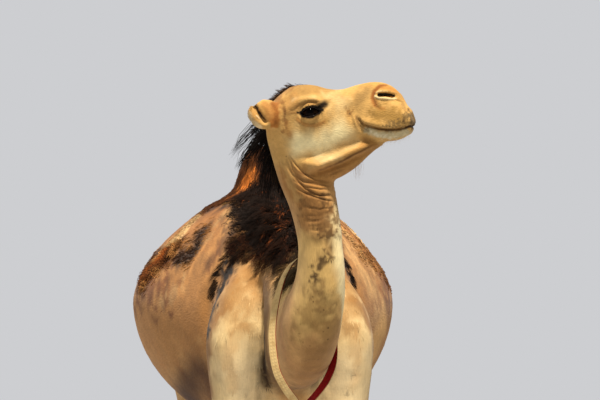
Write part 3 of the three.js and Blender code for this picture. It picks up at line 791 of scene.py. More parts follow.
@dataclass(frozen=True)
class Patch:
    """A stretch along a line, full inside and fading over its outer part; its edge may be broken by noise."""

    path: tuple
    radius: float
    space: Space = Space.BODY
    side: Side = Side.BOTH
    soft: float = 0.6
    broken: float = 0.0
    grain: float = 40.0

    def weight(self, points: Array) -> Array:
        """1 inside, 0 outside, for points in metres."""
        rows = in_space(points, self.space, self.side)
        path = np.array(self.path, float) * WEIGHTS[self.space]
        reach = self.radius * (1 + self.broken)
        near = (rows > path.min(0) - reach).all(1) & (rows < path.max(0) + reach).all(1)
        made = np.zeros(len(points))
        if not near.any():
            return made
        gap, _ = line_distance(rows[near], path)
        if self.broken:
            gap = gap + self.broken * self.radius * noise(points[near] / MM, self.grain, int(self.radius), 2)
        made[near] = smooth_step(self.radius, self.radius * (1 - self.soft), gap)
        return made


WOOLLY: tuple[tuple[Patch, float], ...] = (
    (Patch(((60, -60, 1770), (62, -240, 1730), (55, -430, 1650), (40, -600, 1585)), 150), 20),
    (Patch(((110, -330, 1590), (119, -430, 1500)), 80), 12),
    (Patch(((373, 256, 1617), (304, 329, 1703)), 110), 9),
    (Patch(((0, 480, 1800), (0, 900, 1640)), 120), 8),
)


def coat_depth(points: Array) -> Array:
    """How far the skin lies under the coat's tips, in millimetres: least on the face and legs."""
    height = points[:, 2] / MM
    depth = 2.0 + 3.5 * smooth_step(900, 1150, height) * smooth_step(1800, 1600, height)
    for patch, deep in WOOLLY:
        depth = np.maximum(depth, deep * patch.weight(points))
    return depth


@dataclass
class Skin:
    """The one skin of the body: forms fused, trimmed and bridged at the neck, then carved."""

    body_voxel: float = 0.022
    head_voxel: float = 0.0045
    seam: float = 1.62
    seam_gap: float = 0.009
    neck_from: float = -0.74

    def body_parts(self) -> list[tuple[Array, Array]]:
        """Closed forms of trunk, hump, neck, legs and tail."""
        forms = [TRUNK.rings(64, 60), HUMP.rings(48, 30, -22), BRISKET.rings(32, 6), NECK.rings(48, 60),
                 MANE.rings(24, 60, -26), TAIL.rings(20, 30)]
        for leg in (FORE_LEG, HIND_LEG):
            forms += [leg.rings(32, 70), leg.mirrored().rings(32, 70)]
        for pad in (FORE_FOOT.loft(), HIND_FOOT.loft()):
            forms += [pad.rings(40, 16), pad.mirrored().rings(40, 16)]
        return [closed_tube(rings) for rings in forms]

    def head_parts(self) -> list[tuple[Array, Array]]:
        """Closed forms of skull, throat, lips, ears and the neck below them."""
        forms = [SKULL.rings(96, 110), THROAT.rings(48, 40), UPPER_LIP.rings(48, 24), NECK.rings(72, 120),
                 MANE.rings(36, 120, -26), ear_loft(1).rings(32, 24), ear_loft(-1).rings(32, 24)]
        return [closed_tube(rings) for rings in forms]

    def fill_creases(self, surface: Surface, rounds: int) -> None:
        """Rounds the hollows where forms meet: a point under its neighbours' mean rises towards it."""
        for _ in range(rounds):
            pull = surface.neighbour_mean(surface.points) - surface.points
            hollow = (pull * surface.normals()).sum(1) > 0
            surface.points += 0.6 * pull * hollow[:, None]

    def half(self, name: str, parts: list, voxel: float, rounds: int, fill: int) -> bpy.types.Object:
        """One fused and smoothed half of the body."""
        made = fused(name, parts, voxel)
        surface = Surface(made.data)
        surface.relax(rounds)
        self.fill_creases(surface, fill)
        surface.relax(2)
        surface.write()
        return made

    def trimmed(self, mesh: bpy.types.Mesh, height: float, keep_above: bool) -> bpy.types.Mesh:
        """The mesh cut level at a height, in front of neck_from; the head keeps nothing behind that."""
        work = bmesh.new()
        work.from_mesh(mesh)
        if keep_above:
            bmesh.ops.delete(work, geom=[v for v in work.verts if v.co.y > self.neck_from], context="VERTS")
        verts = [v for v in work.verts if v.co.y < self.neck_from]
        chosen = set(verts)
        geom = verts + [e for e in work.edges if chosen.issuperset(e.verts)]
        geom += [f for f in work.faces if chosen.issuperset(f.verts)]
        bmesh.ops.bisect_plane(work, geom=geom, plane_co=(0, 0, height), plane_no=(0, 0, 1),
                               clear_outer=not keep_above, clear_inner=keep_above)
        work.to_mesh(mesh)
        work.free()
        return mesh

    def fine_zone(self, points: Array, level: int) -> Array:
        """Which points lie where the mesh is split once more, at each level of fineness."""
        near = np.zeros(len(points), bool)
        head = HEAD.inward(points)
        folded = in_space(points, Space.HEAD, Side.BOTH)
        weights = WEIGHTS[Space.HEAD]
        for eye in EYES.values():
            near |= np.linalg.norm(eye.local(points), axis=1) < FINE_EYE[level]
        for line, reach in FINE_LINES:
            near |= (line_distance(folded, line * weights)[0] < reach[level]) & (points[:, 1] < -0.8)
        if level == 0:
            seen = (head[:, 1] < 0) & (points[:, 2] > 1.66)
            for line, span in FINE_RIGHT:
                near |= (line_distance(folded, line * weights)[0] < span) & seen
            near |= (points[:, 1] < -0.47) & (points[:, 2] > 1.0) & (points[:, 2] < self.seam - 0.03)
        return near

    def build(self) -> bpy.types.Object:
        """Makes the skin in its final shape, without its finish."""
        low = self.half("skin", self.body_parts(), self.body_voxel, 8, 14)
        high = self.half("skin_head", self.head_parts(), self.head_voxel, 10, 12)
        self.trimmed(low.data, self.seam - self.seam_gap, keep_above=False)
        self.trimmed(high.data, self.seam + self.seam_gap, keep_above=True)
        work = bmesh.new()
        work.from_mesh(low.data)
        work.from_mesh(high.data)
        bmesh.ops.bridge_loops(work, edges=[e for e in work.edges if e.is_boundary])
        for level in range(2):
            work.verts.index_update()
            places = np.array([v.co[:] for v in work.verts])
            chosen = self.fine_zone(places, level)
            edges = [e for e in work.edges if chosen[e.verts[0].index] and chosen[e.verts[1].index]]
            bmesh.ops.subdivide_edges(work, edges=edges, cuts=1, use_grid_fill=True)
        bmesh.ops.recalc_face_normals(work, faces=work.faces[:])
        work.to_mesh(low.data)
        work.free()
        bpy.data.objects.remove(high)
        surface = Surface(low.data)
        log.info("skin: %d triangles", len(surface.tris))
        self.carve(surface)
        surface.write()
        shade_smooth(low.data)
        return low

    def carve(self, surface: Surface) -> None:
        """Sinks the skin under the coat and adds bones, folds, lids, nostrils, mouth and ears."""
        off_seam = (surface.points[:, 2] - self.seam) / 0.03
        seam = np.exp(-off_seam ** 2) * (surface.points[:, 1] < self.neck_from)
        surface.relax(12, 0.5 * seam, keep_size=False)
        surface.relax(3)
        surface.points -= surface.normals() * coat_depth(surface.points)[:, None] * MM
        for folds in (BODY_FOLDS, HEAD_FORMS, HEAD_FOLDS, THROAT_FOLDS, EAR_FOLDS):
            normals = surface.normals()
            lift = sum(fold.lift(surface.points) for fold in folds)
            surface.points += normals * lift[:, None] * MM
        slits = (Fold(NOSTRIL, 4.0, -15, fade=False), Fold(NOSTRIL_TAIL, 2.2, -7, fade=False))
        for slit in slits:
            surface.points += surface.normals() * slit.lift(surface.points)[:, None] * MM
        for eye in EYES.values():
            surface.points = eye.carve(surface.points)
        near_floor, flat = 0.010, 0.004  # metres: soles are pressed flat below these heights
        low = surface.points[:, 2] < near_floor
        surface.points[low, 2] *= smooth_step(flat, near_floor, surface.points[low, 2])
        surface.points[:, 2] = np.maximum(surface.points[:, 2], 0)


EAR_FOLDS: tuple[Fold, ...] = (
    Fold(((3, 122, 2026), (13, 120, 2010), (24, 118, 1994), (34, 114, 1980)), 6.5, -15, fade=False),
    Fold(((-8, 122, 2008), (6, 124, 1986), (24, 116, 1970)), 6, 4),
    Fold(((20, 120, 2036), (38, 112, 2020), (48, 106, 1998)), 6, 3),
    Fold(((10, 122, 1998), (20, 120, 1986)), 3, 4),
)


# ---------- markings ----------
@dataclass(frozen=True)
class Mark:
    """A patch of colour on skin and coat alike."""

    colour: str
    radius: float
    path: tuple
    space: Space = Space.BODY
    side: Side = Side.BOTH
    strength: float = 1.0
    soft: float = 0.7
    broken: float = 0.25
    grain: float = 40.0
    spots: bool = False

    def patch(self) -> Patch:
        """Where the mark lies."""
        return Patch(self.path, self.radius, self.space, self.side, self.soft, self.broken, self.grain)


TAN = "#c2955c"
MARKS: tuple[Mark, ...] = (
    # trunk: a browner back, a paler flank, pale legs
    Mark("#b07c45", 420, ((300, -150, 1500), (300, 300, 1480), (200, 700, 1500))),
    Mark("#9c6836", 170, ((250, 0, 1740), (300, 330, 1700), (170, 650, 1680)), broken=0.5, grain=90),
    Mark("#b9854c", 170, ((400, 60, 1330), (400, 400, 1330)), strength=0.7),
    Mark("#8d5f33", 190, ((150, -100, 1020), (200, 200, 1030), (100, 600, 1180)), strength=0.85),
    # painted shade: the underside of the barrel darkened on both sides
    Mark("#5a3416", 130, ((250, -160, 1140), (290, 40, 1120), (270, 330, 1060), (200, 560, 1090)),
         strength=0.85, soft=1.0, broken=0.3, grain=60),
    # painted shadow of the right arm on the lower right flank
    Mark("#3c1c05", 104, ((-276, -120, 1225), (-300, 10, 1175), (-285, 170, 1120)), side=R, strength=0.75,
         soft=1.0, broken=0.12, grain=60),
    Mark("#e6c890", 190, ((190, -460, 1360), (180, -450, 1050))),
    Mark("#ead2a2", 150, ((165, -460, 1200), (165, -460, 1010), (160, -460, 300)), soft=0.9),
    Mark("#cfae7b", 170, ((180, 560, 1150), (160, 690, 700), (150, 640, 200)), soft=0.8),
    Mark("#b08450", 60, ((160, -360, 110), (150, 800, 110)), strength=0.4),
    # the arms: browner at the top, and painted shade down the outer side
    Mark("#8f6030", 54, ((224, -420, 1440), (256, -380, 1340), (268, -350, 1250), (262, -350, 1150)),
         strength=0.8, broken=0.5, grain=30),
    Mark("#a87840", 72, ((130, -400, 1520), (200, -370, 1490), (186, -450, 1420), (176, -465, 1370)),
         strength=0.7, broken=0.7, grain=18, soft=0.9),
    Mark("#cfa670", 26, ((206, -470, 1330), (214, -462, 1240), (196, -452, 1170)), strength=0.5, broken=0.5,
         grain=24),
    # the chest between the arms: painted shade where the neck's shadow falls, and in the crease along each
    # arm
    Mark("#75542f", 58, ((96, -470, 1500), (94, -540, 1400), (90, -540, 1300), (70, -480, 1180)),
         strength=0.9, soft=0.8),
    Mark("#4a2f17", 40, ((98, -440, 1260), (94, -450, 1180), (90, -440, 1110)), strength=0.85, soft=0.9),
    # painted shadow of the neck along the right arm's inner edge
    Mark("#2a1608", 30, ((-100, -505, 1330), (-98, -470, 1260), (-90, -432, 1184), (-86, -425, 1100)), side=R,
         strength=0.96, soft=0.55),
    # painted shade in the crease where each arm leaves the chest
    Mark("#5a3d20", 20, ((112, -430, 1510), (117, -478, 1430), (119, -490, 1345), (115, -468, 1249),
                         (104, -420, 1150)), strength=0.7, soft=1.0),
    # painted shade low on the chest between the arms
    Mark("#6b4a28", 80, ((0, -560, 1110), (60, -480, 1120)), strength=0.8),
    # flank: pale streak, dark patch, red shag, mottle
    Mark("#dcb47a", 66, ((216, 258, 1763), (270, 230, 1712), (325, 206, 1657)), strength=0.95, broken=0.7,
         grain=36),
    Mark("#c39a64", 46, ((150, 20, 1730), (190, -30, 1660), (232, -60, 1580)), strength=0.8, broken=0.6,
         grain=36),
    Mark("#6e4526", 40, ((-170, -160, 1660), (-204, -172, 1622), (-240, -150, 1560)), side=R, strength=0.85,
         broken=0.7, grain=20),
    Mark("#2a160a", 54, ((-236, 40, 1680), (-280, -18, 1608), (-325, 60, 1600)), side=R, strength=0.97,
         broken=0.4, grain=30),
    Mark("#4e2910", 62, ((-330, 110, 1630), (-387, 200, 1567), (-415, 240, 1533), (-390, 330, 1590)), side=R,
         strength=0.95, broken=0.7, grain=40),
    Mark("#a06a38", 60, ((330, 110, 1630), (387, 200, 1567), (415, 240, 1533)), side=L, strength=0.7,
         broken=1.2, grain=16),
    Mark("#96501e", 22, ((-345, 150, 1612), (-392, 210, 1565), (-412, 240, 1535)), side=R, strength=0.9,
         broken=0.9, grain=22),
    Mark("#74431f", 84, ((370, 37, 1480), (405, 178, 1490), (400, 330, 1500)), strength=0.85, broken=1.1,
         grain=24),
    Mark("#c9a069", 40, ((330, -40, 1500), (372, 60, 1440)), strength=0.55, broken=1.0, grain=26),
    Mark("#7a4a26", 120, ((0, 430, 1800), (0, 700, 1700), (0, 900, 1600)), strength=0.8, broken=0.6),
    # the left flank: painted light, lighter where the light falls on that side, with the same brown mottle
    # thinly over it
    Mark("#d4a468", 130, ((228, -60, 1650), (300, -20, 1540), (350, 0, 1440)), side=L, strength=0.9,
         broken=0.5),
    Mark("#8e5a2c", 60, ((250, -40, 1640), (330, 20, 1540), (372, 40, 1470)), side=L, strength=0.6,
         broken=1.3, grain=18),
    # painted light on the lower left flank
    Mark("#e6b26c", 112, ((366, 60, 1340), (350, 10, 1250)), side=L, strength=0.95),
    # neck: painted light down its left side, painted shade under its base
    Mark("#dcb56f", 130, ((0, -634, 1330), (20, -684, 1500), (15, -800, 1620), (0, -960, 1560),
                          (20, -960, 1400))),
    # painted light down the left side of the neck
    Mark("#ffeab0", 50, ((104, -860, 1400), (92, -950, 1480), (76, -980, 1560), (72, -990, 1640),
                         (56, -985, 1700)), side=L, strength=1.0, broken=0.12),
    Mark("#a9793f", 80, ((5, -980, 1700), (-30, -990, 1760), (-50, -960, 1850)), strength=0.75, broken=0.4,
         side=R),
    # painted shade under the base of the neck
    Mark("#9a7040", 90, ((28, -900, 1250), (30, -800, 1190), (20, -640, 1150)), strength=0.8, side=R),
    Mark("#a47a47", 60, ((60, -900, 1330), (40, -940, 1340)), strength=0.6, side=R, broken=0.5, grain=26),
    # hump: dark brown with redder streaks, painted lighter on its right side and with a painted orange
    # highlight where the light falls, black low down
    Mark("#4c2a12", 300, ((0, 300, 1700), (0, 290, 1950)), soft=0.25, broken=0.15),
    # painted light on the hump's right side
    Mark("#6b3a18", 90, ((-100, 230, 1960), (-130, 260, 1850), (-190, 260, 1780)), strength=0.7, broken=0.5,
         grain=30),
    Mark("#2a150a", 70, ((0, 190, 1980), (10, 180, 1880), (10, 170, 1800)), strength=0.85, broken=0.5,
         grain=40),
    Mark("#190d07", 74, ((-90, 130, 1800), (-20, 120, 1800), (60, 130, 1810)), strength=0.95, broken=0.5,
         grain=30),
    Mark("#8a4d22", 26, ((-120, 200, 1800), (-60, 180, 1835), (-90, 200, 1905)), side=R, strength=0.5,
         broken=1.0, grain=22),
    # painted highlight in orange where the light falls on the hump
    Mark("#c87430", 50, ((-62, 185, 1892), (-64, 190, 1866)), side=R, soft=1.0, strength=0.95, broken=0.5,
         grain=24),
    # withers: black, with brown and red curls low in front
    Mark("#6b4a2c", 44, ((112, 10, 1768), (140, -60, 1730), (166, -125, 1695), (188, -196, 1630)),
         strength=0.75, broken=1.3, grain=13),
    Mark("#120a06", 122, ((30, 60, 1800), (40, -20, 1760), (60, -200, 1740), (50, -330, 1660)), soft=0.35,
         broken=0.4, grain=22),
    Mark("#140b06", 48, ((80, -60, 1730), (112, -170, 1650), (128, -250, 1600)), soft=0.5, broken=0.7,
         grain=18),
    Mark("#1a0f08", 30, ((140, -290, 1606), (178, -240, 1596), (200, -226, 1566)), soft=0.7, broken=0.9,
         grain=13),
    Mark("#140b06", 74, ((-10, -250, 1720), (-30, -330, 1680), (-30, -400, 1630), (-10, -450, 1610)), side=R,
         soft=0.35, broken=0.3, grain=20),
    Mark("#1a0f08", 42, ((-12, -490, 1605), (-34, -525, 1566)), side=R, soft=0.5, broken=0.5, grain=14),
    Mark("#6a3312", 36, ((-40, -440, 1622), (-80, -430, 1590), (-60, -470, 1572), (-110, -380, 1590)),
         strength=0.9, broken=1.0, grain=13, side=R),
    Mark("#3c1d0c", 60, ((-20, -260, 1700), (-20, -380, 1640)), strength=0.6, broken=1.0, grain=24, side=R),
    Mark("#4a2d18", 30, ((-128, -110, 1700), (-140, -60, 1730)), strength=0.5, broken=0.9, grain=24, side=R),
    Mark("#20120a", 13, ((194, -225, 1584), (207, -229, 1551), (221, -235, 1504), (235, -237, 1445),
                         (256, -340, 1378)), broken=0.8, grain=13, side=L),
    Mark("#1c100a", 46, ((-168, -276, 1585), (-203, -274, 1528), (-226, -290, 1474), (-248, -312, 1410),
                         (-262, -335, 1350)), soft=0.45, broken=0.7, grain=14, side=R),
    Mark("#17100a", 9, ((212, -330, 1470), (232, -380, 1400), (246, -380, 1350)), strength=0.9, broken=0.5,
         grain=14, side=L),
    Mark("#4e3a22", 16, ((-250, -360, 1318), (-254, -350, 1296)), strength=0.7, broken=0.8, grain=12, side=R),
    # belly pad, knees, soles
    Mark("#6b5744", 95, ((0, -200, 990), (0, -205, 930)), soft=0.3),
    Mark("#8b6c49", 46, ((158, -420, 610),), strength=0.6),
    Mark("#5a4a3a", 130, ((158, -378, -60), (150, 782, -60)), soft=0.5),
    Mark("#2a1a10", 50, ((5, 1090, 1120), (5, 1090, 980)), soft=0.5),
)
NECK_SMUDGES: tuple[Mark, ...] = (
    Mark("#6f5533", 25, ((36, -1000, 1640), (30, -1004, 1600), (24, -1002, 1574)), side=R, strength=0.95,
         broken=1.1, grain=10),
    Mark("#5d4629", 20, ((20, -1002, 1566), (4, -986, 1516), (-6, -976, 1506)), side=R, strength=0.95,
         broken=1.1, grain=9),
    Mark("#7b5a30", 34, ((-20, -995, 1700), (20, -1012, 1690), (50, -1005, 1680)), side=R, strength=0.75,
         broken=1.2, grain=11),
    Mark("#8d6a3a", 60, ((10, -960, 1400), (60, -930, 1330)), strength=0.55, broken=0.8, grain=26,
         spots=True),
    Mark("#8b6a3e", 30, ((20, -975, 1475), (40, -960, 1420)), side=R, strength=0.6, broken=1.1, grain=10),
    Mark("#7d5f37", 70, ((-30, -880, 1290), (60, -860, 1270)), strength=0.25, broken=0.7, spots=True),
)
HEAD_MARKS: tuple[Mark, ...] = (
    Mark("#d3a660", 170, ((60, 0, 1980), (220, 0, 1990), (420, 0, 2000)), H, soft=0.3, broken=0.05),
    Mark("#ac8448", 46, ((110, 40, 2085), (205, 40, 2078)), H),
    Mark("#c08a4a", 40, ((96, 84, 2030), (120, 86, 2040)), H, strength=0.5, broken=0.5),
    Mark("#cfae74", 42, ((225, 50, 2056), (262, 50, 2040), (250, 54, 2010)), H, soft=1.0, broken=0.3,
         grain=18),
    # the cheek's pale hair, painted paler still as painted light where the light falls on it
    Mark("#ffedb4", 72, ((130, 76, 1912), (205, 66, 1908), (245, 64, 1940)), H, soft=1.0, strength=0.95,
         broken=0.25),
    Mark("#bf9759", 26, ((210, 56, 1880), (300, 48, 1915)), H, soft=1.0, strength=0.8),
    Mark("#e0c48c", 11, ((118, 84, 2046), (145, 82, 2052), (182, 80, 2052)), H, strength=0.5, soft=1.0,
         broken=0.3),
    Mark("#c08b4b", 10, ((133, 90, 2026), (160, 88, 2034), (190, 84, 2036)), H, strength=0.55, broken=0.4),
    Mark("#bf9048", 42, ((350, 30, 2100), (400, 30, 2085), (440, 20, 2060)), H, strength=0.7),
    Mark("#957443", 34, ((308, 56, 2035), (335, 56, 2070)), H, strength=0.75, soft=1.0, broken=0.3, grain=14),
    Mark("#a9813f", 40, ((375, 56, 2000), (425, 50, 1992)), H, strength=0.85, broken=0.4, grain=10),
    Mark("#9a6c38", 17, ((288, 56, 2010),), H, strength=0.75, broken=0.9, grain=7, spots=True),
    Mark("#b0843f", 36, ((160, 92, 1956), (206, 84, 1962), (250, 70, 1985)), H, strength=0.2, spots=True),
    # between eye and ear
    Mark("#7d4c22", 12, ((74, 88, 2044), (86, 90, 2019), (88, 88, 1989), (86, 82, 1950)), H, strength=0.6,
         soft=1.0, broken=1.0, grain=9),
    Mark("#b4722f", 19, ((58, 94, 2034), (63, 95, 2004), (58, 92, 1968)), H, strength=0.9, broken=0.4,
         grain=14),
    Mark("#a56f35", 22, ((92, 82, 1976), (98, 76, 1944)), H, strength=0.6, broken=0.6),
    Mark("#8f6232", 20, ((56, 40, 2062), (80, 26, 2084), (110, 24, 2096)), H, strength=0.75, broken=0.8,
         grain=16),
    Mark("#20140c", 13, ((22, 50, 2036), (36, 50, 2052), (60, 30, 2076), (92, 14, 2102)), H, strength=0.95,
         broken=0.7, grain=10),
    Mark("#2a1b10", 8, ((92, 10, 2104), (150, 4, 2102)), H, strength=0.7, broken=0.9, grain=9),
    # back of the skull and the nape's crest
    Mark("#150c07", 52, ((-57, -930, 2086), (-113, -910, 2056), (-135, -886, 1985), (-98, -866, 1900),
                         (-30, -842, 1795)), side=R, soft=0.3, broken=0.3, grain=16),
    Mark("#2c1a0f", 30, ((-34, -842, 1795), (12, -816, 1690), (24, -780, 1600)), side=R, soft=0.5,
         broken=0.4),
    Mark("#9e703e", 26, ((60, 40, 2040), (84, 34, 2080)), H, strength=0.6, broken=0.6, grain=16),
    # under the jaw: painted shade in the groove under the jaw ridge, and a painted highlight along its top
    Mark("#b07c3e", 44, ((180, 40, 1800), (250, 30, 1830), (330, 20, 1880)), H, strength=0.75),
    # painted shade: a dark line and a darker band in the groove under the jaw ridge
    Mark("#53300f", 5.0, ((180, 50, 1827), (230, 48, 1845), (257, 44, 1858), (291, 38, 1876), (327, 34, 1893),
                          (356, 34, 1909)), H, strength=0.8, soft=1.0, broken=0.3, grain=14),
    Mark("#8a5a2a", 15, ((190, 50, 1822), (257, 40, 1846), (330, 30, 1880), (380, 22, 1910)), H, strength=0.6,
         soft=1.0),
    # painted highlight along the top of the jaw ridge
    Mark("#c4a670", 11, ((176, 50, 1858), (213, 50, 1871), (248, 46, 1887), (284, 44, 1903), (320, 42, 1920)),
         H, strength=0.65, soft=1.0, broken=0.3),
    Mark("#6a4421", 6, ((98, 58, 1859), (106, 58, 1844), (120, 56, 1829), (140, 54, 1820), (170, 50, 1814)),
         H, strength=0.85, soft=0.9, broken=0.3),
    Mark("#a87640", 66, ((90, 40, 1810), (130, 40, 1750), (160, 30, 1690)), H, strength=0.55, broken=0.4,
         grain=26),
    Mark("#caa262", 22, ((76, 46, 1862), (90, 50, 1800), (112, 50, 1750)), H, strength=0.6, broken=0.4,
         grain=16),
    Mark("#4c3219", 17, ((196, 40, 1746), (206, 30, 1722)), H, strength=0.6, broken=0.9, grain=10),
    Mark("#6d4c28", 40, ((150, 40, 1730), (190, 30, 1690), (206, 20, 1640)), H, strength=0.5, broken=0.9,
         grain=12),
    Mark("#3a2614", 4.5, ((83, 51, 1875),), H, strength=0.9, broken=0.3),
    # eye
    Mark("#b97f3e", 10, ((132, 96, 1984), (156, 96, 1968), (186, 90, 1966), (212, 80, 1978)), H, strength=0.7,
         broken=0.3, grain=9),
    Mark("#855526", 3.0, ((126, 98, 1990), (146, 98, 1975), (172, 94, 1970), (198, 86, 1977)), H,
         strength=0.6),
    Mark("#8f5f2e", 2.6, ((118, 96, 1981), (140, 96, 1965), (172, 92, 1960), (204, 82, 1966)), H,
         strength=0.5),
    Mark("#97632f", 7, ((112, 96, 2006), (128, 97, 2004)), H, strength=0.6, broken=0.4),
    # nostril
    Mark("#8c4d1a", 9.5, ((392, 30, 2092), (374, 40, 2086), (360, 50, 2070), (356, 56, 2048),
                          (366, 60, 2026)), H, strength=0.9, broken=0.2),
    Mark("#b5793a", 15, ((366, 58, 2034), (378, 60, 2018), (396, 58, 2016)), H, strength=0.7, broken=0.4),
    Mark("#b97c34", 11, ((386, 40, 2082), (410, 32, 2080), (434, 20, 2066)), H, strength=0.75),
    Mark("#e6ca93", 5.0, ((364, 54, 2055), (379, 54, 2048), (405, 50, 2045), (430, 45, 2047)), H, soft=0.5,
         broken=0.05),
    Mark("#e6c88e", 3.6, ((371, 50, 2066), (386, 46, 2070), (404, 44, 2068)), H, strength=0.8),
    # painted shade inside the nostril's slit
    Mark("#0a0503", 7.0, NOSTRIL, H, soft=0.3, broken=0.0),
    Mark("#2a170b", 2.8, NOSTRIL_TAIL, H, soft=0.5, broken=0.05),
    Mark("#4a2d16", 3.6, ((397, 24, 2098), (420, 22, 2090), (438, 20, 2078), (452, 14, 2058)), H,
         strength=0.8, broken=0.3, grain=8),
    Mark("#54371b", 3.6, ((452, 26, 2044), (458, 20, 2030), (464, 18, 2006), (462, 18, 1992)), H,
         strength=0.85),
    # mouth and lips
    Mark("#7c6238", 12, ((408, 50, 1966), (440, 46, 1972), (456, 38, 1988), (464, 30, 2000)), H,
         strength=0.85, broken=0.9, grain=5, spots=True),
    Mark("#6a5533", 15, ((470, 16, 1992), (478, 10, 1978), (474, 8, 1964)), H, strength=0.9, broken=0.4,
         grain=8),
    Mark("#cbbb90", 18, ((340, 54, 1950), (380, 48, 1935), (430, 38, 1934), (456, 26, 1944)), H,
         strength=0.92, broken=0.3, grain=8),
    Mark("#e8dab4", 8, ((350, 53, 1944), (385, 48, 1930), (424, 40, 1928)), H, strength=0.75, broken=1.0,
         grain=5),
    # painted shade in the crease below the mouth's corner
    Mark("#5c4930", 9, ((326, 56, 1960), (340, 54, 1944)), H, strength=0.6, broken=0.8, grain=6),
    Mark("#6b5334", 6, ((400, 48, 1947), (440, 40, 1949), (460, 26, 1955)), H, strength=0.5, broken=0.8,
         grain=5),
    # painted shade in the line between the lips
    Mark("#180d06", 4.0, MOUTH, H, soft=0.6, broken=0.0),
    Mark("#8a6234", 5, ((306, 56, 1992), (311, 57, 1976), (317, 57, 1960), (330, 56, 1946)), H, strength=0.7),
    Mark("#9b6b34", 20, ((330, 44, 1922), (356, 36, 1908)), H, strength=0.7),
    # ear
    Mark("#c9954f", 30, ((34, 114, 2012), (0, 122, 2000)), H, strength=0.8),
    Mark("#8a5222", 15, ((56, 96, 2036), (66, 92, 2010), (60, 90, 1978)), H, strength=0.65, soft=1.0,
         broken=0.5, grain=9),
    Mark("#b57a3c", 12, ((30, 112, 2034), (44, 106, 2016), (46, 104, 1990)), H, strength=0.6, broken=0.5),
    Mark("#ead0a0", 12, ((-12, 122, 2004), (-4, 124, 1978), (18, 118, 1962)), H, strength=0.85),
    # painted shade in the ear's opening
    Mark("#160c06", 6.6, ((4, 122, 2025), (13, 120, 2010), (24, 118, 1995), (35, 114, 1981)), H, soft=0.4,
         broken=0.25, grain=7),
    Mark("#e4c596", 3.6, ((10, 122, 1998), (20, 120, 1988)), H, strength=0.9),
)


# narrow grooves, which get painted shade in the coat's colour
CREASED = tuple(fold for fold in (*HEAD_FOLDS, *THROAT_FOLDS) if fold.height < 0 and fold.width < 6)


def coat_colour(points: Array) -> tuple[Array, Array]:
    """The coat's linear colour and how spotted it is, at points in metres.

    The ground is tan, varied by broad and fine noise; each mark is laid over it in turn by its weight.
    Noise drawn out down the upper flank gives it the streaks of moulting hair, and narrow grooves get painted
    shade.
    """
    rows = points / MM
    ground = np.tile(linear(TAN), (len(points), 1))
    spots = np.zeros(len(points))
    for mark in (*MARKS, *NECK_SMUDGES, *HEAD_MARKS):
        weight = mark.patch().weight(points) * mark.strength
        if mark.spots:
            spots = np.maximum(spots, weight)
        ground += (linear(mark.colour) - ground) * weight[:, None]
    shade = 1 + 0.09 * noise(rows, 160, 5) + 0.10 * noise(rows, 34, 6, 2) + 0.09 * noise(rows, 9, 7, 2)
    across, along, height = rows.T
    upper = smooth_step(1330, 1560, height) * smooth_step(-330, -100,
                                                          along) * smooth_step(60, 180, abs(across))
    shade += 0.40 * upper * noise(rows * [0.22, 1.0, 0.3], 15, 8, 3)
    ground = ground * np.maximum(shade, 0.35)[:, None]
    # painted shade: each narrow groove darkened towards brown by its depth
    depth = sum(np.minimum(fold.lift(points), 0) for fold in CREASED)
    ground += (linear("#4b2d14") - ground) * np.clip(-depth / 9.0, 0, 0.75)[:, None]
    for eye in EYES.values():
        ground += (linear("#0f0906") - ground) * eye.darkness(points)[:, None]
    return ground, spots


# ---------- lie of the coat ----------
def region_ratios(points: Array) -> tuple[Array, Array, Array]:
    """Each point's nearness to every body form, and its place along and angle round the nearest one."""
    ratios, places, angles = [], [], []
    for form in REGIONS:
        ratio, place, angle = form.locate(points)
        ratios.append(ratio)
        places.append(place)
        angles.append(angle)
    ratios = np.stack(ratios, axis=1)
    k = ratios.argmin(axis=1)
    rows = np.arange(len(points))
    return ratios, np.stack(places, 1)[rows, k], np.stack(angles, 1)[rows, k]


def coat_lie(points: Array, normals: Array, ratios: Array) -> Array:
    """Unit directions in which the coat lies: back and down the trunk, down neck and legs, back on the head.

    Each form has its own direction; they are mixed by exp(-7 * nearness) and laid into the surface.
    """
    x, y, z = points.T
    along, left, _ = HEAD.basis()
    chest = smooth_step(-0.25, -0.5, y)
    low = smooth_step(1.5, 1.05, z)
    down = np.tile([0.0, 0.0, -1.0], (len(points), 1))
    trunk = np.stack([0 * x, (1 - chest) * (1 - 0.5 * low), -0.35 - 0.9 * chest - 0.6 * low], axis=1)
    neck = np.tile([0.0, 0.15, -1.0], (len(points), 1))
    hump = unit(np.stack([(x - 0.01) * 1.6, (y - 0.29) * 0.9, -0.42 + 0 * x], axis=1))
    skull = np.tile(-along - np.array([0, 0, 0.28]), (len(points), 1))
    mane = unit(np.stack([(x + 0.02) * 2.0, 0.25 + 0 * x, -0.6 + 0 * x], axis=1))
    ear = np.tile(-0.75 * along, (len(points), 1)) + left * np.sign(HEAD.inward(points)[:, 1:2]) * 0.3
    table = [trunk, neck, hump, skull, down, down, down, down, mane, down, ear, ear, down, down, down, down]
    share = np.exp(-7 * (ratios - ratios.min(axis=1, keepdims=True)))
    share /= share.sum(axis=1, keepdims=True)
    mixed = sum(unit(way) * share[:, k:k + 1] for k, way in enumerate(table))
    mixed += 0.05 * np.stack([noise(points / MM, 60, s, 2) for s in (11, 12, 13)], axis=1)
    return unit(mixed - (mixed * normals).sum(1, keepdims=True) * normals)


@dataclass
class Roots:
    """Places on the skin where tufts grow, with all that their shape and colour need."""

    points: Array
    normals: Array
    lie: Array
    colours: Array
    spots: Array
    patch: Array


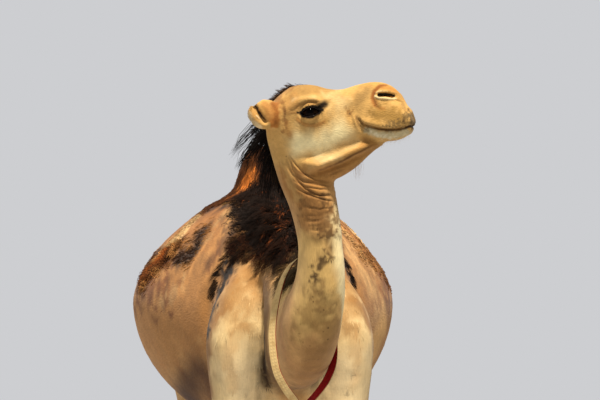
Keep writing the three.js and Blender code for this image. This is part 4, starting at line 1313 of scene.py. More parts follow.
@dataclass
class SkinField:
    """The finished skin as a field to plant on: its triangles, their areas and their nearest forms."""

    surface: Surface
    ratios: Array = field(init=False)
    regions: Array = field(init=False)
    centres: Array = field(init=False)
    areas: Array = field(init=False)

    def __post_init__(self) -> None:
        """Works out each triangle's middle, area and nearest form."""
        self.vertex_normals = self.surface.normals()
        self.centres = self.surface.points[self.surface.tris].mean(axis=1)
        self.areas = np.linalg.norm(self.surface.face_normals(), axis=1) / 2
        ratios, _, _ = region_ratios(self.surface.points)
        self.ratios = ratios
        self.regions = ratios.argmin(axis=1)[self.surface.tris[:, 0]]

    def plant(self, density: Array, count: int, seed: int) -> Roots:
        """Roots spread evenly over the triangles in proportion to area times density.

        A comb of equal steps through the running sum picks the triangles; a random place in each is taken.
        """
        rng = np.random.default_rng(seed)
        total = np.cumsum(self.areas * density)
        comb = (np.arange(count) + rng.random(count)) / count * total[-1]
        tri = np.minimum(np.searchsorted(total, comb), len(total) - 1)
        u, v = rng.random((2, count))
        flip = u + v > 1
        u, v = np.where(flip, 1 - u, u), np.where(flip, 1 - v, v)
        share = np.stack([1 - u - v, u, v], axis=1)[:, :, None]
        corners = self.surface.tris[tri]
        points = (self.surface.points[corners] * share).sum(axis=1)
        normals = unit((self.vertex_normals[corners] * share).sum(axis=1))
        ratios, place, angle = region_ratios(points)
        cell = ratios.argmin(axis=1)
        patch = np.stack([(cell % ATLAS + 0.04 + 0.9 * place) / ATLAS,
                          (cell // ATLAS + 0.04 + 0.9 * (angle / (2 * np.pi) + 0.5)) / ATLAS], axis=1)
        colours, spots = coat_colour(points)
        return Roots(points, normals, coat_lie(points, normals, ratios), colours, spots, patch)


# ---------- tufts ----------
@dataclass(frozen=True)
class TuftShape:
    """How the tufts of a bed are made; lengths in millimetres, lift in degrees off the skin.

    blend is how far a tuft takes its shading from the skin under it, as fine hair that lies flat does.
    """

    length: float
    width: float
    lift: float
    droop: float = 0.3
    settle: float = 0.25
    curl: float = 0.0
    turns: float = 5.0
    clump: float = 0.0
    per_lock: int = 10
    rings: int = 3
    ragged: float = 0.3
    shade: float = 0.16
    tip: float = 1.12
    root: float = 0.72
    thick: float = 0.4
    blend: float = 0.5


class TuftMaker:
    """Turns roots into solid three-sided tapering tufts that bend along the lie of the coat."""

    def __init__(self, shape: TuftShape, seed: int) -> None:
        """Keeps the shape and a seeded source of chance."""
        self.shape = shape
        self.rng = np.random.default_rng(seed)

    def locks(self, points: Array, reach: Array) -> Array:
        """For each tuft, the way from its own tip to the tip of its lock's middle tuft."""
        count = len(points)
        leaders = self.rng.permutation(count)[:max(count // self.shape.per_lock, 1)]
        nearest = np.empty(count, int)
        for start in range(0, count, BLOCK):
            rows = points[start:start + BLOCK]
            gap = ((rows[:, None] - points[leaders][None]) ** 2).sum(axis=2)
            nearest[start:start + BLOCK] = leaders[gap.argmin(axis=1)]
        return points[nearest] + reach[nearest] - points - reach

    def faces(self, count: int) -> Array:
        """Triangles of all the tufts: each one's root end, its sides ring by ring, and its tip."""
        rings = self.shape.rings
        ring = np.array([[0, 1, 4], [0, 4, 3], [1, 2, 5], [1, 5, 4], [2, 0, 3], [2, 3, 5]])
        tip = 3 * (rings - 1) + np.array([[0, 1, 3], [1, 2, 3], [2, 0, 3]])
        one = np.concatenate([*(ring + 3 * k for k in range(rings - 1)), [[0, 2, 1]], tip])
        return (one[None] + (3 * rings + 1) * np.arange(count)[:, None, None]).reshape(-1, 3)

    def shading(self, roots: Roots, side: Array, way: Array, corners: Array) -> Array:
        """Normals for the light: each corner's own, mixed with those of the skin under the tuft by blend."""
        s = self.shape
        radial = side[:, None] * corners[None, :, :1] + roots.normals[:, None] * (corners[None, :, 1:] - 0.33)
        turned = unit(roots.normals + 0.5 * way)
        own = unit(np.concatenate([np.tile(radial, (1, s.rings, 1)), turned[:, None]], axis=1))
        return unit(own * (1 - s.blend) + roots.normals[:, None] * s.blend)

    def build(self, roots: Roots) -> tuple[Array, ...]:
        """Points, triangles, colours, spots, patch places and shading normals of all the tufts.

        A point on a tuft's axis is root + L (u d + u^2 b) + sideways L curl u sin(w u + p). Here d is the lie
        lifted off the skin, b the settling back and the droop. Its section is a triangle that tapers to 0.
        """
        s, rng, count = self.shape, self.rng, len(roots.points)
        lift = np.radians(s.lift * (1 + 0.35 * rng.standard_normal(count)))[:, None]
        length = s.length * MM * (1 + s.ragged * rng.uniform(-1, 1, count))
        side = unit(np.cross(roots.normals, roots.lie))
        stray = 0.16 * rng.standard_normal(count)[:, None]
        lie = unit(roots.lie + side * stray)
        way = lie * np.cos(lift) + roots.normals * np.sin(lift)
        bend = lie * 0.1 - roots.normals * s.settle + np.array([0, 0, -s.droop])
        width = s.width * MM * (1 + 0.3 * rng.uniform(-1, 1, count))
        reach = length[:, None] * (way + bend)
        pull = s.clump * self.locks(roots.points, reach) if s.clump else np.zeros_like(reach)
        phase, turns = rng.uniform(0, 2 * np.pi, count), s.turns * rng.uniform(0.7, 1.3, count)
        steps = np.linspace(0, 1, s.rings + 1)[:-1]
        swell = np.interp(steps, [0, 0.3, 0.7, 1], [0.75, 1.0, 0.7, 0])
        corners = np.array([[-0.5, 0], [0.5, 0], [0, 1]])
        across = side[:, None] * corners[None, :,
                                         :1] + roots.normals[:, None] * corners[None, :, 1:] * s.thick
        points = np.empty((count, 3 * s.rings + 1, 3))
        for k, u in enumerate([*steps, 1.0]):
            wave = s.curl * length * u * np.sin(turns * u + phase)
            lean = s.curl * length * u * np.cos(turns * u + phase) * 0.6
            axis = roots.points - roots.normals * ROOT_SUNK + length[:, None] * (u * way + u * u * bend)
            axis = axis + side * wave[:, None] + roots.normals * lean[:, None] + pull * u ** 1.4
            if k < s.rings:
                points[:, 3 * k:3 * k + 3] = axis[:, None] + across * (width * swell[k])[:, None, None]
            else:
                points[:, -1] = axis
        tone = roots.colours * (1 + s.shade * rng.standard_normal(count))[:, None].clip(0.5, 1.6)
        u_of = np.append(np.repeat(steps, 3), 1.0)
        fade = s.root + (s.tip - s.root) * u_of
        colours = tone[:, None] * fade[None, :, None]
        offset = np.stack([u_of, np.append(np.tile([0, 1, 0.5], s.rings), 0.5)], axis=1) * 0.003
        patch = roots.patch[:, None] + offset[None]
        return (points.reshape(-1, 3), self.faces(count), colours.reshape(-1, 3),
                np.repeat(roots.spots, points.shape[1]), patch.reshape(-1, 2),
                self.shading(roots, side, way, corners).reshape(-1, 3))


def tuft_object(name: str, finish: bpy.types.Material, made: list[tuple]) -> bpy.types.Object:
    """One coat piece from one or more made beds, with its colours, spots and bake map.

    Args:
        name: the piece's name.
        finish: its material.
        made: what TuftMaker.build returned, one item a bed.

    Returns:
        The new object, riding on the body.
    """
    points, faces = joined([(bed[0], bed[1]) for bed in made])
    points[:, 2] = np.maximum(points[:, 2], LOWEST_HAIR)
    obj = mesh_of(name, points, faces)
    set_colour(obj, "Tone", np.concatenate([bed[2] for bed in made]))
    set_value(obj, "Spots", np.concatenate([bed[3] for bed in made]))
    set_map(obj, "OFBake", np.concatenate([bed[4] for bed in made]))
    obj.data.normals_split_custom_set_from_vertices(np.concatenate([bed[5] for bed in made]))
    obj.data.materials.append(finish)
    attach(obj, "root")
    log.info("%s: %d triangles", name, len(faces))
    return obj


@dataclass(frozen=True)
class Bed:
    """Where one kind of tuft grows and how thickly; tone, if given, is nearly all of its colour."""

    count: int
    shape: TuftShape
    seed: int
    patches: tuple[Patch, ...] = ()
    regions: tuple[int, ...] = ()
    keep_off: tuple[Patch, ...] = ()
    tone: str = ""

    def density(self, skin: SkinField) -> Array:
        """How thickly it grows on each triangle of the skin, 0 to 1."""
        made = np.isin(skin.regions, self.regions).astype(float)
        for patch in self.patches:
            made = np.maximum(made, patch.weight(skin.centres))
        for patch in self.keep_off:
            made *= 1 - patch.weight(skin.centres)
        return made

    def grow(self, skin: SkinField, share: float) -> tuple:
        roots = skin.plant(self.density(skin), max(int(self.count * share), 20), self.seed)
        if self.tone:
            roots.colours = roots.colours * 0.12 + linear(self.tone) * 0.88
        return TuftMaker(self.shape, self.seed + 500).build(roots)


# places in REGIONS
TRUNK_K, NECK_K, HUMP_K, SKULL_K, MANE_K = 0, 1, 2, 3, 8
EAR_K = (10, 11)
LEG_K = (4, 5, 6, 7, 12, 13, 14, 15)
EYE_BARE = tuple(Patch(((eye.along, eye.side * 95.0, eye.height + 3),), 30, H, L if eye.side > 0 else R,
                       soft=0.3) for eye in EYES.values())
WITHERS = (
    Patch(((20, 60, 1800), (24, -60, 1780), (30, -200, 1745), (30, -330, 1680)), 124, soft=0.45, broken=0.5,
          grain=20),
    Patch(((70, -20, 1760), (92, -140, 1690), (104, -230, 1640)), 60, soft=0.6, broken=0.6, grain=18),
    Patch(((-10, -430, 1640), (-22, -500, 1590)), 52, side=R, soft=0.5, broken=0.3, grain=24),
)
RUST = (Patch(((8, 0, 1805), (13, -302, 1724), (39, -432, 1638)), 60, soft=0.9, broken=0.9, grain=26),)
NAPE_TUFT = (Patch(((-132, -880, 2004), (-125, -870, 1940), (-92, -860, 1876)), 34, side=R, broken=0.8,
                   grain=20),)
CURLS = (
    Patch(((-30, -360, 1680), (-60, -420, 1620), (-90, -420, 1590)), 62, side=R, soft=0.5),
    Patch(((-20, -470, 1620), (-40, -520, 1575)), 44, side=R, soft=0.5),
    Patch(((-126, -330, 1600), (-150, -220, 1630)), 46, side=R, soft=0.6),
    Patch(((40, -60, 1800), (60, -200, 1740), (60, -330, 1670)), 60, soft=0.5),
)
SHAG = (
    Patch(((232, 40, 1690), (278, -10, 1618), (325, 60, 1600)), 62, broken=0.4),
    Patch(((330, 110, 1630), (387, 200, 1567), (415, 240, 1533), (390, 330, 1590)), 84, broken=0.3),
    Patch(((200, 250, 1770), (270, 230, 1712), (325, 206, 1657)), 80, broken=0.3),
    Patch(((0, 430, 1800), (0, 700, 1700), (0, 900, 1600)), 130, broken=0.4),
)
SHAG_EDGE = (Patch(((-345, 140, 1622), (-390, 205, 1570), (-418, 245, 1530)), 46, side=R, broken=0.4,
                   grain=24),)
FRINGE = (
    Patch(((194, -225, 1590), (207, -229, 1556), (221, -235, 1510), (235, -237, 1460)), 13, soft=0.8),
    Patch(((140, -290, 1610), (178, -240, 1600)), 22, soft=0.8, broken=0.6, grain=16),
    Patch(((-168, -276, 1590), (-203, -274, 1534), (-226, -290, 1480), (-248, -312, 1420)), 42, side=R,
          soft=0.5, broken=0.4, grain=16),
)
THROAT_BARE = (
    Patch(((98, 40, 1866), (104, 40, 1810), (150, 40, 1770), (200, 20, 1750)), 74, H, soft=0.35),
    Patch(((60, 40, 1790), (80, 40, 1740), (130, 40, 1690), (200, 10, 1670)), 64, H, soft=0.5),
)
CROWN = Patch(((10, 0, 2046), (40, 0, 2078), (110, 0, 2100)), 58, H, soft=0.35)
FACE_BARE = (
    *EYE_BARE,
    Patch(((368, 48, 2056), (394, 46, 2054), (424, 36, 2047)), 12, H, soft=0.3),
    Patch(((319, 56, 1975), (350, 55, 1960), (392, 51, 1950), (440, 42, 1949), (468, 14, 1956)), 8, H,
          soft=0.3),
    Patch(((4, 122, 2026), (36, 114, 1980)), 9, H, soft=0.3),
)


@dataclass
class Coat:
    """All the tufts over the skin, piece by piece."""

    skin: SkinField
    short: bpy.types.Material
    wool: bpy.types.Material
    share: float = 1.0

    def beds(self) -> dict[str, tuple[str, bpy.types.Material, tuple[Bed, ...]]]:
        """The coat pieces: name, slot, finish and beds."""
        woolly = TuftShape(38, 2.9, 22, droop=0.4, settle=0.2, curl=0.10, clump=0.55, per_lock=14, tip=1.35,
                           shade=0.28)
        withers = TuftShape(42, 3.0, 34, droop=0.45, settle=0.2, curl=0.20, clump=0.6, per_lock=14, tip=1.4,
                            shade=0.3)
        curly = TuftShape(30, 2.4, 46, droop=0.2, settle=0.25, curl=0.30, turns=11.0, clump=0.35, per_lock=9,
                          rings=7, tip=1.7, shade=0.4)
        nape = TuftShape(62, 1.9, 46, droop=0.3, settle=0.05, curl=0.06, clump=0.7, per_lock=22, tip=1.1)
        mop = TuftShape(104, 1.9, 58, droop=0.35, curl=0.08, clump=0.78, per_lock=26, tip=1.1, ragged=0.5)
        poll = TuftShape(17, 1.3, 30, droop=0.0, settle=0.0, curl=0.06, clump=0.6, per_lock=10, tip=1.1)
        shag = TuftShape(27, 2.2, 15, droop=0.2, settle=0.2, curl=0.12, clump=0.6, per_lock=12, tip=1.3,
                         shade=0.34)
        fringe = TuftShape(56, 1.7, 10, droop=0.5, settle=0.1, curl=0.05, clump=0.6, per_lock=14)
        short = partial(TuftShape, droop=0.0, rings=2, thick=0.16)
        body = short(22, 3.4, 5, settle=0.07, shade=0.04, tip=1.03, root=0.97, blend=0.92)
        fine = short(13, 2.4, 5, settle=0.06, shade=0.04, tip=1.03, root=0.97, blend=0.92)
        face = short(6.0, 1.2, 4.5, settle=0.05, shade=0.03, tip=1.02, root=0.98, blend=0.94)
        legs = replace(fine, width=2.8)
        bare = (*WITHERS, *FRINGE)
        side = {s: tuple(Patch(((s * 230, y, 1300), (s * 230, y, 1600)), 430, side=L, soft=0.2)
                         for y in (-300, 300, 800)) for s in (-1, 1)}
        return {
            "hump_wool": ("wool", self.wool, (Bed(11500, woolly, 1, regions=(HUMP_K,)),)),
            "withers_wool": ("mane", self.wool, (Bed(10200, withers, 2, patches=WITHERS, tone="#1a0f09"),
                                                Bed(1300, withers, 15, patches=RUST, tone="#6a3616"))),
            "withers_curls": ("mane", self.wool, (Bed(3300, curly, 12, patches=CURLS, tone="#2e170b"),
                                                          Bed(1200, curly, 14, patches=SHAG_EDGE))),
            "nape_mane": ("mane", self.wool,
                          (Bed(6200, nape, 3, regions=(MANE_K,), tone="#1a100a",
                               keep_off=(Patch(((0, 0, 1500), (0, -480, 1500)), 130, soft=0.5), CROWN)),
                           Bed(900, poll, 13, regions=(MANE_K,), tone="#2a190e",
                               keep_off=(Patch(((0, -300, 1500), (0, -850, 1900)), 320),)),
                           Bed(520, mop, 16, patches=NAPE_TUFT, tone="#160d08"),
                           Bed(1150, fringe, 4, patches=FRINGE[:2] + FRINGE[3:], tone="#20130a"),
                           Bed(160, TuftShape(34, 1.6, 12, droop=0.5, clump=0.5), 5, patches=FRINGE[2:3],
                               tone="#2a1a0e"))),
            "flank_shag": ("wool", self.wool, (Bed(11500, shag, 6, patches=SHAG),)),
            "coat_flank_right": ("coat", self.short, (Bed(10500, body, 7, patches=side[-1], keep_off=bare),)),
            "coat_flank_left": ("coat", self.short, (Bed(10500, body, 8, patches=side[1], keep_off=bare),)),
            "coat_neck": ("coat", self.short,
                          (Bed(10000, fine, 9, regions=(NECK_K,), keep_off=THROAT_BARE),)),
            "coat_head": ("pale_coat", self.short, (Bed(14000, face, 10, regions=(SKULL_K, *EAR_K),
                                                        keep_off=(*FACE_BARE, *THROAT_BARE)),)),
            "coat_legs": ("coat", self.short, (Bed(13000, legs, 11, regions=LEG_K),)),
        }

    def build(self) -> list[bpy.types.Object]:
        """Grows every piece of the coat."""
        return [tuft_object(name, finish, [bed.grow(self.skin, self.share) for bed in beds])
                for name, (slot, finish, beds) in self.beds().items()]


@dataclass
class Wisps:
    """Long loose hair: crown, beard, chin, ear fringes, elbows, tail tassel and the lashes."""

    skin: SkinField
    finish: bpy.types.Material
    share: float = 1.0

    def lashes(self, eye: EyeSocket, seed: int) -> tuple:
        """Curved lashes along the upper lid, and short ones along the lower."""
        rng = np.random.default_rng(seed)
        made = []
        for count, length, rise, top in ((170, 24.0, 0.3, True), (60, 7.0, 0.6, False)):
            place = np.linspace(-0.92, 0.95, count) * eye.half_width
            upper, lower = eye.edges(place)
            height = upper + 1.0 if top else lower - 1.0
            depth = np.sqrt(np.maximum((eye.radius + eye.lid) ** 2 - place ** 2 - height ** 2, 4))
            rows = np.stack([place, height, depth], axis=1)
            axes = eye.axes()
            out = unit(rows) @ axes
            sign = 1.0 if top else -1.0
            way = unit(np.stack([0.35 + 0.014 * place, np.full(count, sign * rise), np.full(count, 0.7)],
                                1)) @ axes
            dark = np.tile(linear("#140c07"), (count, 1))
            roots = Roots(eye.world(rows), out, way, dark, np.zeros(count), np.full((count, 2), 0.86))
            roots.patch = roots.patch + 0.02 * rng.random((count, 2))
            shape = TuftShape(length, 1.0, 4, droop=0.3 if top else 0.05, settle=0.1, clump=0.35, per_lock=5,
                              ragged=0.25, shade=0.1, thick=0.5)
            made.append(TuftMaker(shape, seed + top).build(roots))
        points, faces = joined([(bed[0], bed[1]) for bed in made])
        return (points, faces, *(np.concatenate([bed[k] for bed in made]) for k in (2, 3, 4, 5)))

    def build(self) -> list[bpy.types.Object]:
        """Makes the wisps as one piece and the tail tassel as another."""
        crown = TuftShape(19, 1.2, 46, droop=0.05, settle=0.0, curl=0.08, clump=0.7, per_lock=14, tip=1.2,
                          ragged=0.5)
        beard = TuftShape(44, 0.7, 44, droop=0.6, settle=0.0, curl=0.04, clump=0.7, per_lock=14, ragged=0.5,
                          tip=1.3)
        whisker = TuftShape(16, 0.5, 50, droop=0.3, curl=0.03, ragged=0.5)
        ear = TuftShape(8, 0.8, 24, droop=0.1, curl=0.06, clump=0.3)
        elbow = TuftShape(40, 2.6, 26, droop=0.5, curl=0.06, clump=0.5)
        tassel = TuftShape(120, 3.6, 22, droop=0.7, settle=0.15, curl=0.04, clump=0.5)
        beds = (
            Bed(1100, crown, 21, (Patch(((24, 44, 2040), (50, 30, 2066), (94, 12, 2102)), 15, H, soft=0.8),),
                tone="#2b1a10"),
            Bed(26, beard, 22, (Patch(((286, 8, 1846), (312, 8, 1862)), 9, H, soft=0.8),), tone="#a3794a"),
            Bed(160, whisker, 23,
                (Patch(((360, 20, 1915), (410, 26, 1924), (452, 14, 1940)), 18, H, soft=0.8),
                 Patch(((430, 40, 1975), (456, 26, 1985)), 18, H, soft=0.8))),
            Bed(900, ear, 24, (Patch(((4, 124, 2034), (-10, 122, 2010), (2, 122, 1978)), 14, H, soft=0.7),)),
            Bed(600, elbow, 25, (Patch(((170, -250, 1130), (176, -262, 1060)), 40, soft=0.8),)),
        )
        grown = [bed.grow(self.skin, self.share) for bed in beds]
        grown += [self.lashes(eye, 31 + k) for k, eye in enumerate(EYES.values())]
        tail = Bed(1500, tassel, 26, (Patch(((5, 1092, 1130), (5, 1092, 985)), 60, soft=0.4),))
        return [tuft_object("face_wisps", self.finish, grown),
                tuft_object("tail_tassel", self.finish, [tail.grow(self.skin, self.share)])]


# ---------- finishes ----------
def add_node(tree: bpy.types.NodeTree, kind: str, inputs: dict | None = None, **settings) -> bpy.types.Node:
    """Adds a node, sets its properties, and links or fills its inputs.

    Args:
        tree: the material's nodes.
        kind: Blender's name of the node, without the ShaderNode that all of them start with.
        inputs: input name or number to a value or to another node's output.
        settings: the node's own properties.

    Returns:
        The node.
    """
    made = tree.nodes.new("ShaderNode" + kind)
    for key, value in settings.items():
        setattr(made, key, value)
    for key, value in (inputs or {}).items():
        if isinstance(value, bpy.types.NodeSocket):
            tree.links.new(value, made.inputs[key])
        else:
            made.inputs[key].default_value = value
    return made


def opaque(colour: str | Array | Point) -> tuple:
    """A hex code or linear colour as linear red, green, blue and alpha."""
    return (*(linear(colour) if isinstance(colour, str) else colour), 1)


def maths(tree: bpy.types.NodeTree, operation: str, first: bpy.types.NodeSocket,
          second: bpy.types.NodeSocket | float) -> bpy.types.NodeSocket:
    """Two numbers put together by an operation."""
    return add_node(tree, "Math", {0: first, 1: second}, operation=operation).outputs[0]


def blended(tree: bpy.types.NodeTree, share: bpy.types.NodeSocket, low: bpy.types.NodeSocket | tuple,
            high: tuple) -> bpy.types.NodeSocket:
    """A colour that goes from low to high with a share."""
    return add_node(tree, "Mix", {0: share, 6: low, 7: high}, data_type="RGBA").outputs[2]


@dataclass(frozen=True)
class Finish:
    """A material's start: one Principled shader whose constants are set on its own sockets."""

    name: str
    roughness: float = 0.7
    specular: float = 0.3
    sheen: float = 0.0
    coat: float = 0.0
    coat_roughness: float = 0.03

    def start(self) -> tuple[bpy.types.Material, bpy.types.NodeTree, bpy.types.Node]:
        """The new material, its tree and its shader."""
        made = bpy.data.materials.new(self.name)
        made.use_nodes = True
        tree = made.node_tree
        tree.nodes.clear()
        shader = add_node(tree, "BsdfPrincipled", {
            "Roughness": self.roughness, "Specular IOR Level": self.specular, "Sheen Weight": self.sheen,
            "Coat Weight": self.coat, "Coat Roughness": self.coat_roughness})
        add_node(tree, "OutputMaterial", {"Surface": shader.outputs[0]})
        return made, tree, shader

    @staticmethod
    def dress(tree: bpy.types.NodeTree, shader: bpy.types.Node, colour: bpy.types.NodeSocket,
              height: bpy.types.NodeSocket | None = None, strength: float = 0.0,
              distance: float = 0.0) -> None:
        """Gives the shader its colour, and a bump where there is a height."""
        tree.links.new(colour, shader.inputs["Base Color"])
        if height is not None:
            raised = add_node(tree, "Bump", {"Height": height, "Strength": strength, "Distance": distance})
            tree.links.new(raised.outputs[0], shader.inputs["Normal"])


@dataclass(frozen=True)
class CamelHair(Finish):
    """Short camel hair: keratin fibres of 0.02 mm lying flat, which scatter light softly and gleam little.

    The eye sees the markings, fine lengthwise streaks, and small dark specks where the ground is spotted.
    """

    streak: float = 0.0
    streak_size: float = 5.0  # mm between streaks: fibres gather into strands of about this width
    speck_size: float = 0.017  # metres between specks where the ground is spotted
    bump: float = 0.0

    def make(self) -> bpy.types.Material:
        """Builds the nodes."""
        made, tree, shader = self.start()
        tone = add_node(tree, "Attribute", attribute_name="Tone")
        spots = add_node(tree, "Attribute", attribute_name="Spots")
        place = add_node(tree, "TexCoord").outputs["Object"]
        specks = add_node(tree, "TexVoronoi", {"Vector": place, "Scale": 1 / self.speck_size,
                                               "Randomness": 1.0})
        speck = add_node(tree, "MapRange", {"Value": specks.outputs["Distance"], "From Min": 0.16,
                                                       "From Max": 0.26, "To Min": 1.0, "To Max": 0.0})
        pick = add_node(tree, "SeparateColor", {"Color": specks.outputs["Color"]})
        few = maths(tree, "GREATER_THAN", pick.outputs[0], 0.55)
        amount = maths(tree, "MULTIPLY", maths(tree, "MULTIPLY", speck.outputs[0], few), spots.outputs["Fac"])
        colour = blended(tree, amount, tone.outputs["Color"], opaque("#3a2512"))
        if self.streak:
            mixed = self.streaks(tree, place)
            vary = add_node(tree, "MapRange", {"Value": mixed, "From Min": 0.3, "From Max": 0.7,
                                               "To Min": 1 - self.streak, "To Max": 1 + self.streak})
            shade = add_node(tree, "VectorMath", {0: colour, "Scale": vary.outputs[0]}, operation="SCALE")
            self.dress(tree, shader, shade.outputs[0], mixed, self.bump, 0.003)
        else:
            self.dress(tree, shader, colour)
        return made

    def streaks(self, tree: bpy.types.NodeTree, place: bpy.types.NodeSocket) -> bpy.types.NodeSocket:
        """Noise drawn out along the coat's lie: back on the trunk, down the neck and legs, along the head."""
        lie = add_node(tree, "Attribute", attribute_name="Lie")
        share = add_node(tree, "SeparateColor", {"Color": lie.outputs["Color"]})
        across = 1000 / self.streak_size
        ways = (((across, across, across * 0.16), 0.0), ((across, across * 0.16, across * 0.8), 0.0),
                ((across * 0.5, across * 1.8, across * 1.8), math.radians(90 - HEAD.turn)))
        total = None
        for k, (scale, turn) in enumerate(ways):
            turned = add_node(tree, "Mapping", {"Vector": place, "Rotation": (0, 0, turn)})
            sized = add_node(tree, "VectorMath", {0: turned.outputs[0], 1: scale}, operation="MULTIPLY")
            field_ = add_node(tree, "TexNoise", {"Vector": sized.outputs[0], "Scale": 1.0, "Detail": 3.0})
            part = maths(tree, "MULTIPLY", field_.outputs[0], share.outputs[k])
            total = part if total is None else maths(tree, "ADD", total, part)
        return total


@dataclass(frozen=True)
class EyeGlobe(Finish):
    """A wet cornea over a dark iris: nearly black brown, with a small faint gleam."""

    def make(self) -> bpy.types.Material:
        """Builds the nodes."""
        made, tree, shader = self.start()
        tone = add_node(tree, "Attribute", attribute_name="Tone")
        self.dress(tree, shader, tone.outputs["Color"])
        return made


@dataclass(frozen=True)
class Horn(Finish):
    """Nail horn: keratin grown in lengthwise layers, dark with paler ones between, half glossy."""

    def make(self) -> bpy.types.Material:
        """Builds the nodes."""
        made, tree, shader = self.start()
        place = add_node(tree, "TexCoord").outputs["Object"]
        sized = add_node(tree, "VectorMath", {0: place, 1: (400, 400, 1400)}, operation="MULTIPLY")
        layers = add_node(tree, "TexNoise", {"Vector": sized.outputs[0], "Scale": 0.5, "Detail": 3.0})
        colour = blended(tree, layers.outputs[0], opaque("#33261b"), opaque("#6d5840"))
        self.dress(tree, shader, colour, layers.outputs[0], 0.5, 0.001)
        return made


@dataclass(frozen=True)
class WetSkin(Finish):
    """Bare dark lid skin: smooth, almost black, damp at the edge."""

    def make(self) -> bpy.types.Material:
        """Builds the nodes."""
        made, tree, shader = self.start()
        place = add_node(tree, "TexCoord").outputs["Object"]
        grain = add_node(tree, "TexNoise", {"Vector": place, "Scale": 900.0, "Detail": 2.0})
        self.dress(tree, shader, blended(tree, grain.outputs[0], opaque("#0d0806"), opaque("#2b1a11")))
        return made


@dataclass(frozen=True)
class Webbing(Finish):
    """Woven tape of cotton: ribs across it every 1.7 mm, and a face that catches dirt."""

    colour: str = "#e6c78a"
    worn: str = "#b98d52"
    rib: float = 1.7  # mm between ribs of the weave

    def make(self) -> bpy.types.Material:
        """Builds the nodes; U runs along the tape and V across it, both in metres."""
        made, tree, shader = self.start()
        where = add_node(tree, "UVMap", uv_map="Weave")
        ribs = add_node(tree, "TexWave", {"Vector": where.outputs[0], "Scale": 1000 / self.rib / 20,
                                                    "Distortion": 0.6, "Detail": 1.0}, bands_direction="X")
        warp = add_node(tree, "TexWave", {"Vector": where.outputs[0], "Scale": 1000 / 1.5 / 20,
                                                    "Distortion": 0.4}, bands_direction="Y")
        weave = maths(tree, "MULTIPLY", ribs.outputs["Fac"], warp.outputs["Fac"])
        dirt = add_node(tree, "TexNoise", {"Vector": where.outputs[0], "Scale": 38.0, "Detail": 4.0})
        soiled = add_node(tree, "MapRange", {"Value": dirt.outputs[0], "From Min": 0.45, "From Max": 0.75,
                                                       "To Min": 0.05, "To Max": 0.7})
        cloth = blended(tree, soiled.outputs[0], opaque(self.colour), opaque(self.worn))
        dark = add_node(tree, "MapRange", {"Value": weave, "To Min": 0.94, "To Max": 1.02})
        shade = add_node(tree, "VectorMath", {0: cloth, "Scale": dark.outputs[0]}, operation="SCALE")
        self.dress(tree, shader, shade.outputs[0], weave, 0.8, 0.0008)
        return made


# ---------- eyes, nails and collar ----------
def adopt(obj: bpy.types.Object, slot: str, finish: bpy.types.Material, *nodes: str) -> bpy.types.Object:
    """Dresses a piece and has it ride on the body in place of the solids named."""
    obj.data.materials.clear()
    obj.data.materials.append(finish)
    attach(obj, "root")
    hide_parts(*nodes)
    log.info("%s: %d faces", obj.name, len(obj.data.polygons))
    return obj


@dataclass
class Eye:
    """An eyeball with its cornea, and the dark rim of the lids round it."""

    socket: EyeSocket
    name: str
    globe: bpy.types.Material
    rim: bpy.types.Material
    cornea: float = 17.5
    bulge: float = 2.2
    iris: float = 18.0
    limbus: float = 17.6
    pupil: tuple[float, float] = (9.5, 6.0)

    def ball(self) -> bpy.types.Object:
        """The globe, with iris and pupil as colours.

        A sphere about the outward axis whose radius grows by bulge * (1 - (r / cornea)^2) within the cornea.
        """
        polar = np.linspace(0.02, np.pi - 0.02, 56)
        turn = circle(72)
        p, q = np.meshgrid(polar, turn, indexing="ij")
        off = self.socket.radius * np.sin(p)
        swell = np.where(np.cos(p) > 0, self.bulge * np.maximum(1 - (off / self.cornea) ** 2, 0) ** 0.8, 0)
        radius = self.socket.radius - self.bulge * 0.6 + swell
        rings = np.stack([radius * np.sin(p) * np.cos(q), radius * np.sin(p) * np.sin(q), radius * np.cos(p)],
                         axis=-1)
        points, faces = closed_tube(rings)
        a, b, c = points.T
        r = np.hypot(a, b)
        fibres = 0.5 + 0.5 * noise(np.stack([np.arctan2(b, a) * 9, r * 0.12, 0 * r], 1), 1.0, 3, 2)
        iris = linear("#080402") + (linear("#1b0e07") - linear("#080402")) * fibres[:, None]
        white = np.tile(linear("#241710"), (len(points), 1))
        colour = np.where((r < self.iris)[:, None] & (c > 0)[:, None], iris, white)
        pupil = smooth_step(1.25, 0.85, np.hypot(a / self.pupil[0], b / self.pupil[1])) * (c > 0)
        limbus = np.exp(-((r - self.limbus) / 1.4) ** 2) * (c > 0)
        colour = colour * (1 - pupil[:,
                                     None]) * (1 - 0.8 * limbus[:, None]) + linear("#030202") * pupil[:, None]
        obj = mesh_of(f"eyeball_{self.name}", self.socket.world(points), outward(points, faces))
        set_colour(obj, "Tone", colour)
        return adopt(obj, "eye", self.globe, f"eye_{self.name}")

    def lid_rim(self) -> bpy.types.Object:
        """A round cord of bare skin along the edge of both lids: a circle carried round the almond."""
        count, around = 96, 10
        line = self.socket.lid_line(count, 1.3)
        ahead, behind = np.roll(line, -1, 0), np.roll(line, 1, 0)
        tangent = unit(ahead - behind)
        out = unit(line)
        side = unit(np.cross(tangent, out))
        angle = circle(around)
        ring = (side[:, None] * np.cos(angle)[None, :,
                                              None] * 1.9 + out[:, None] * np.sin(angle)[None, :, None] * 1.5)
        points = (line[:, None] + ring).reshape(-1, 3)
        faces = grid_faces(count, around, wrap_rows=True)
        obj = mesh_of(f"lid_rim_{self.name}", self.socket.world(points), faces)
        right_way_out(obj)
        obj.data.materials.append(self.rim)
        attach(obj, "root")
        return obj

    def build(self) -> None:
        """Makes both pieces."""
        self.ball()
        self.lid_rim()


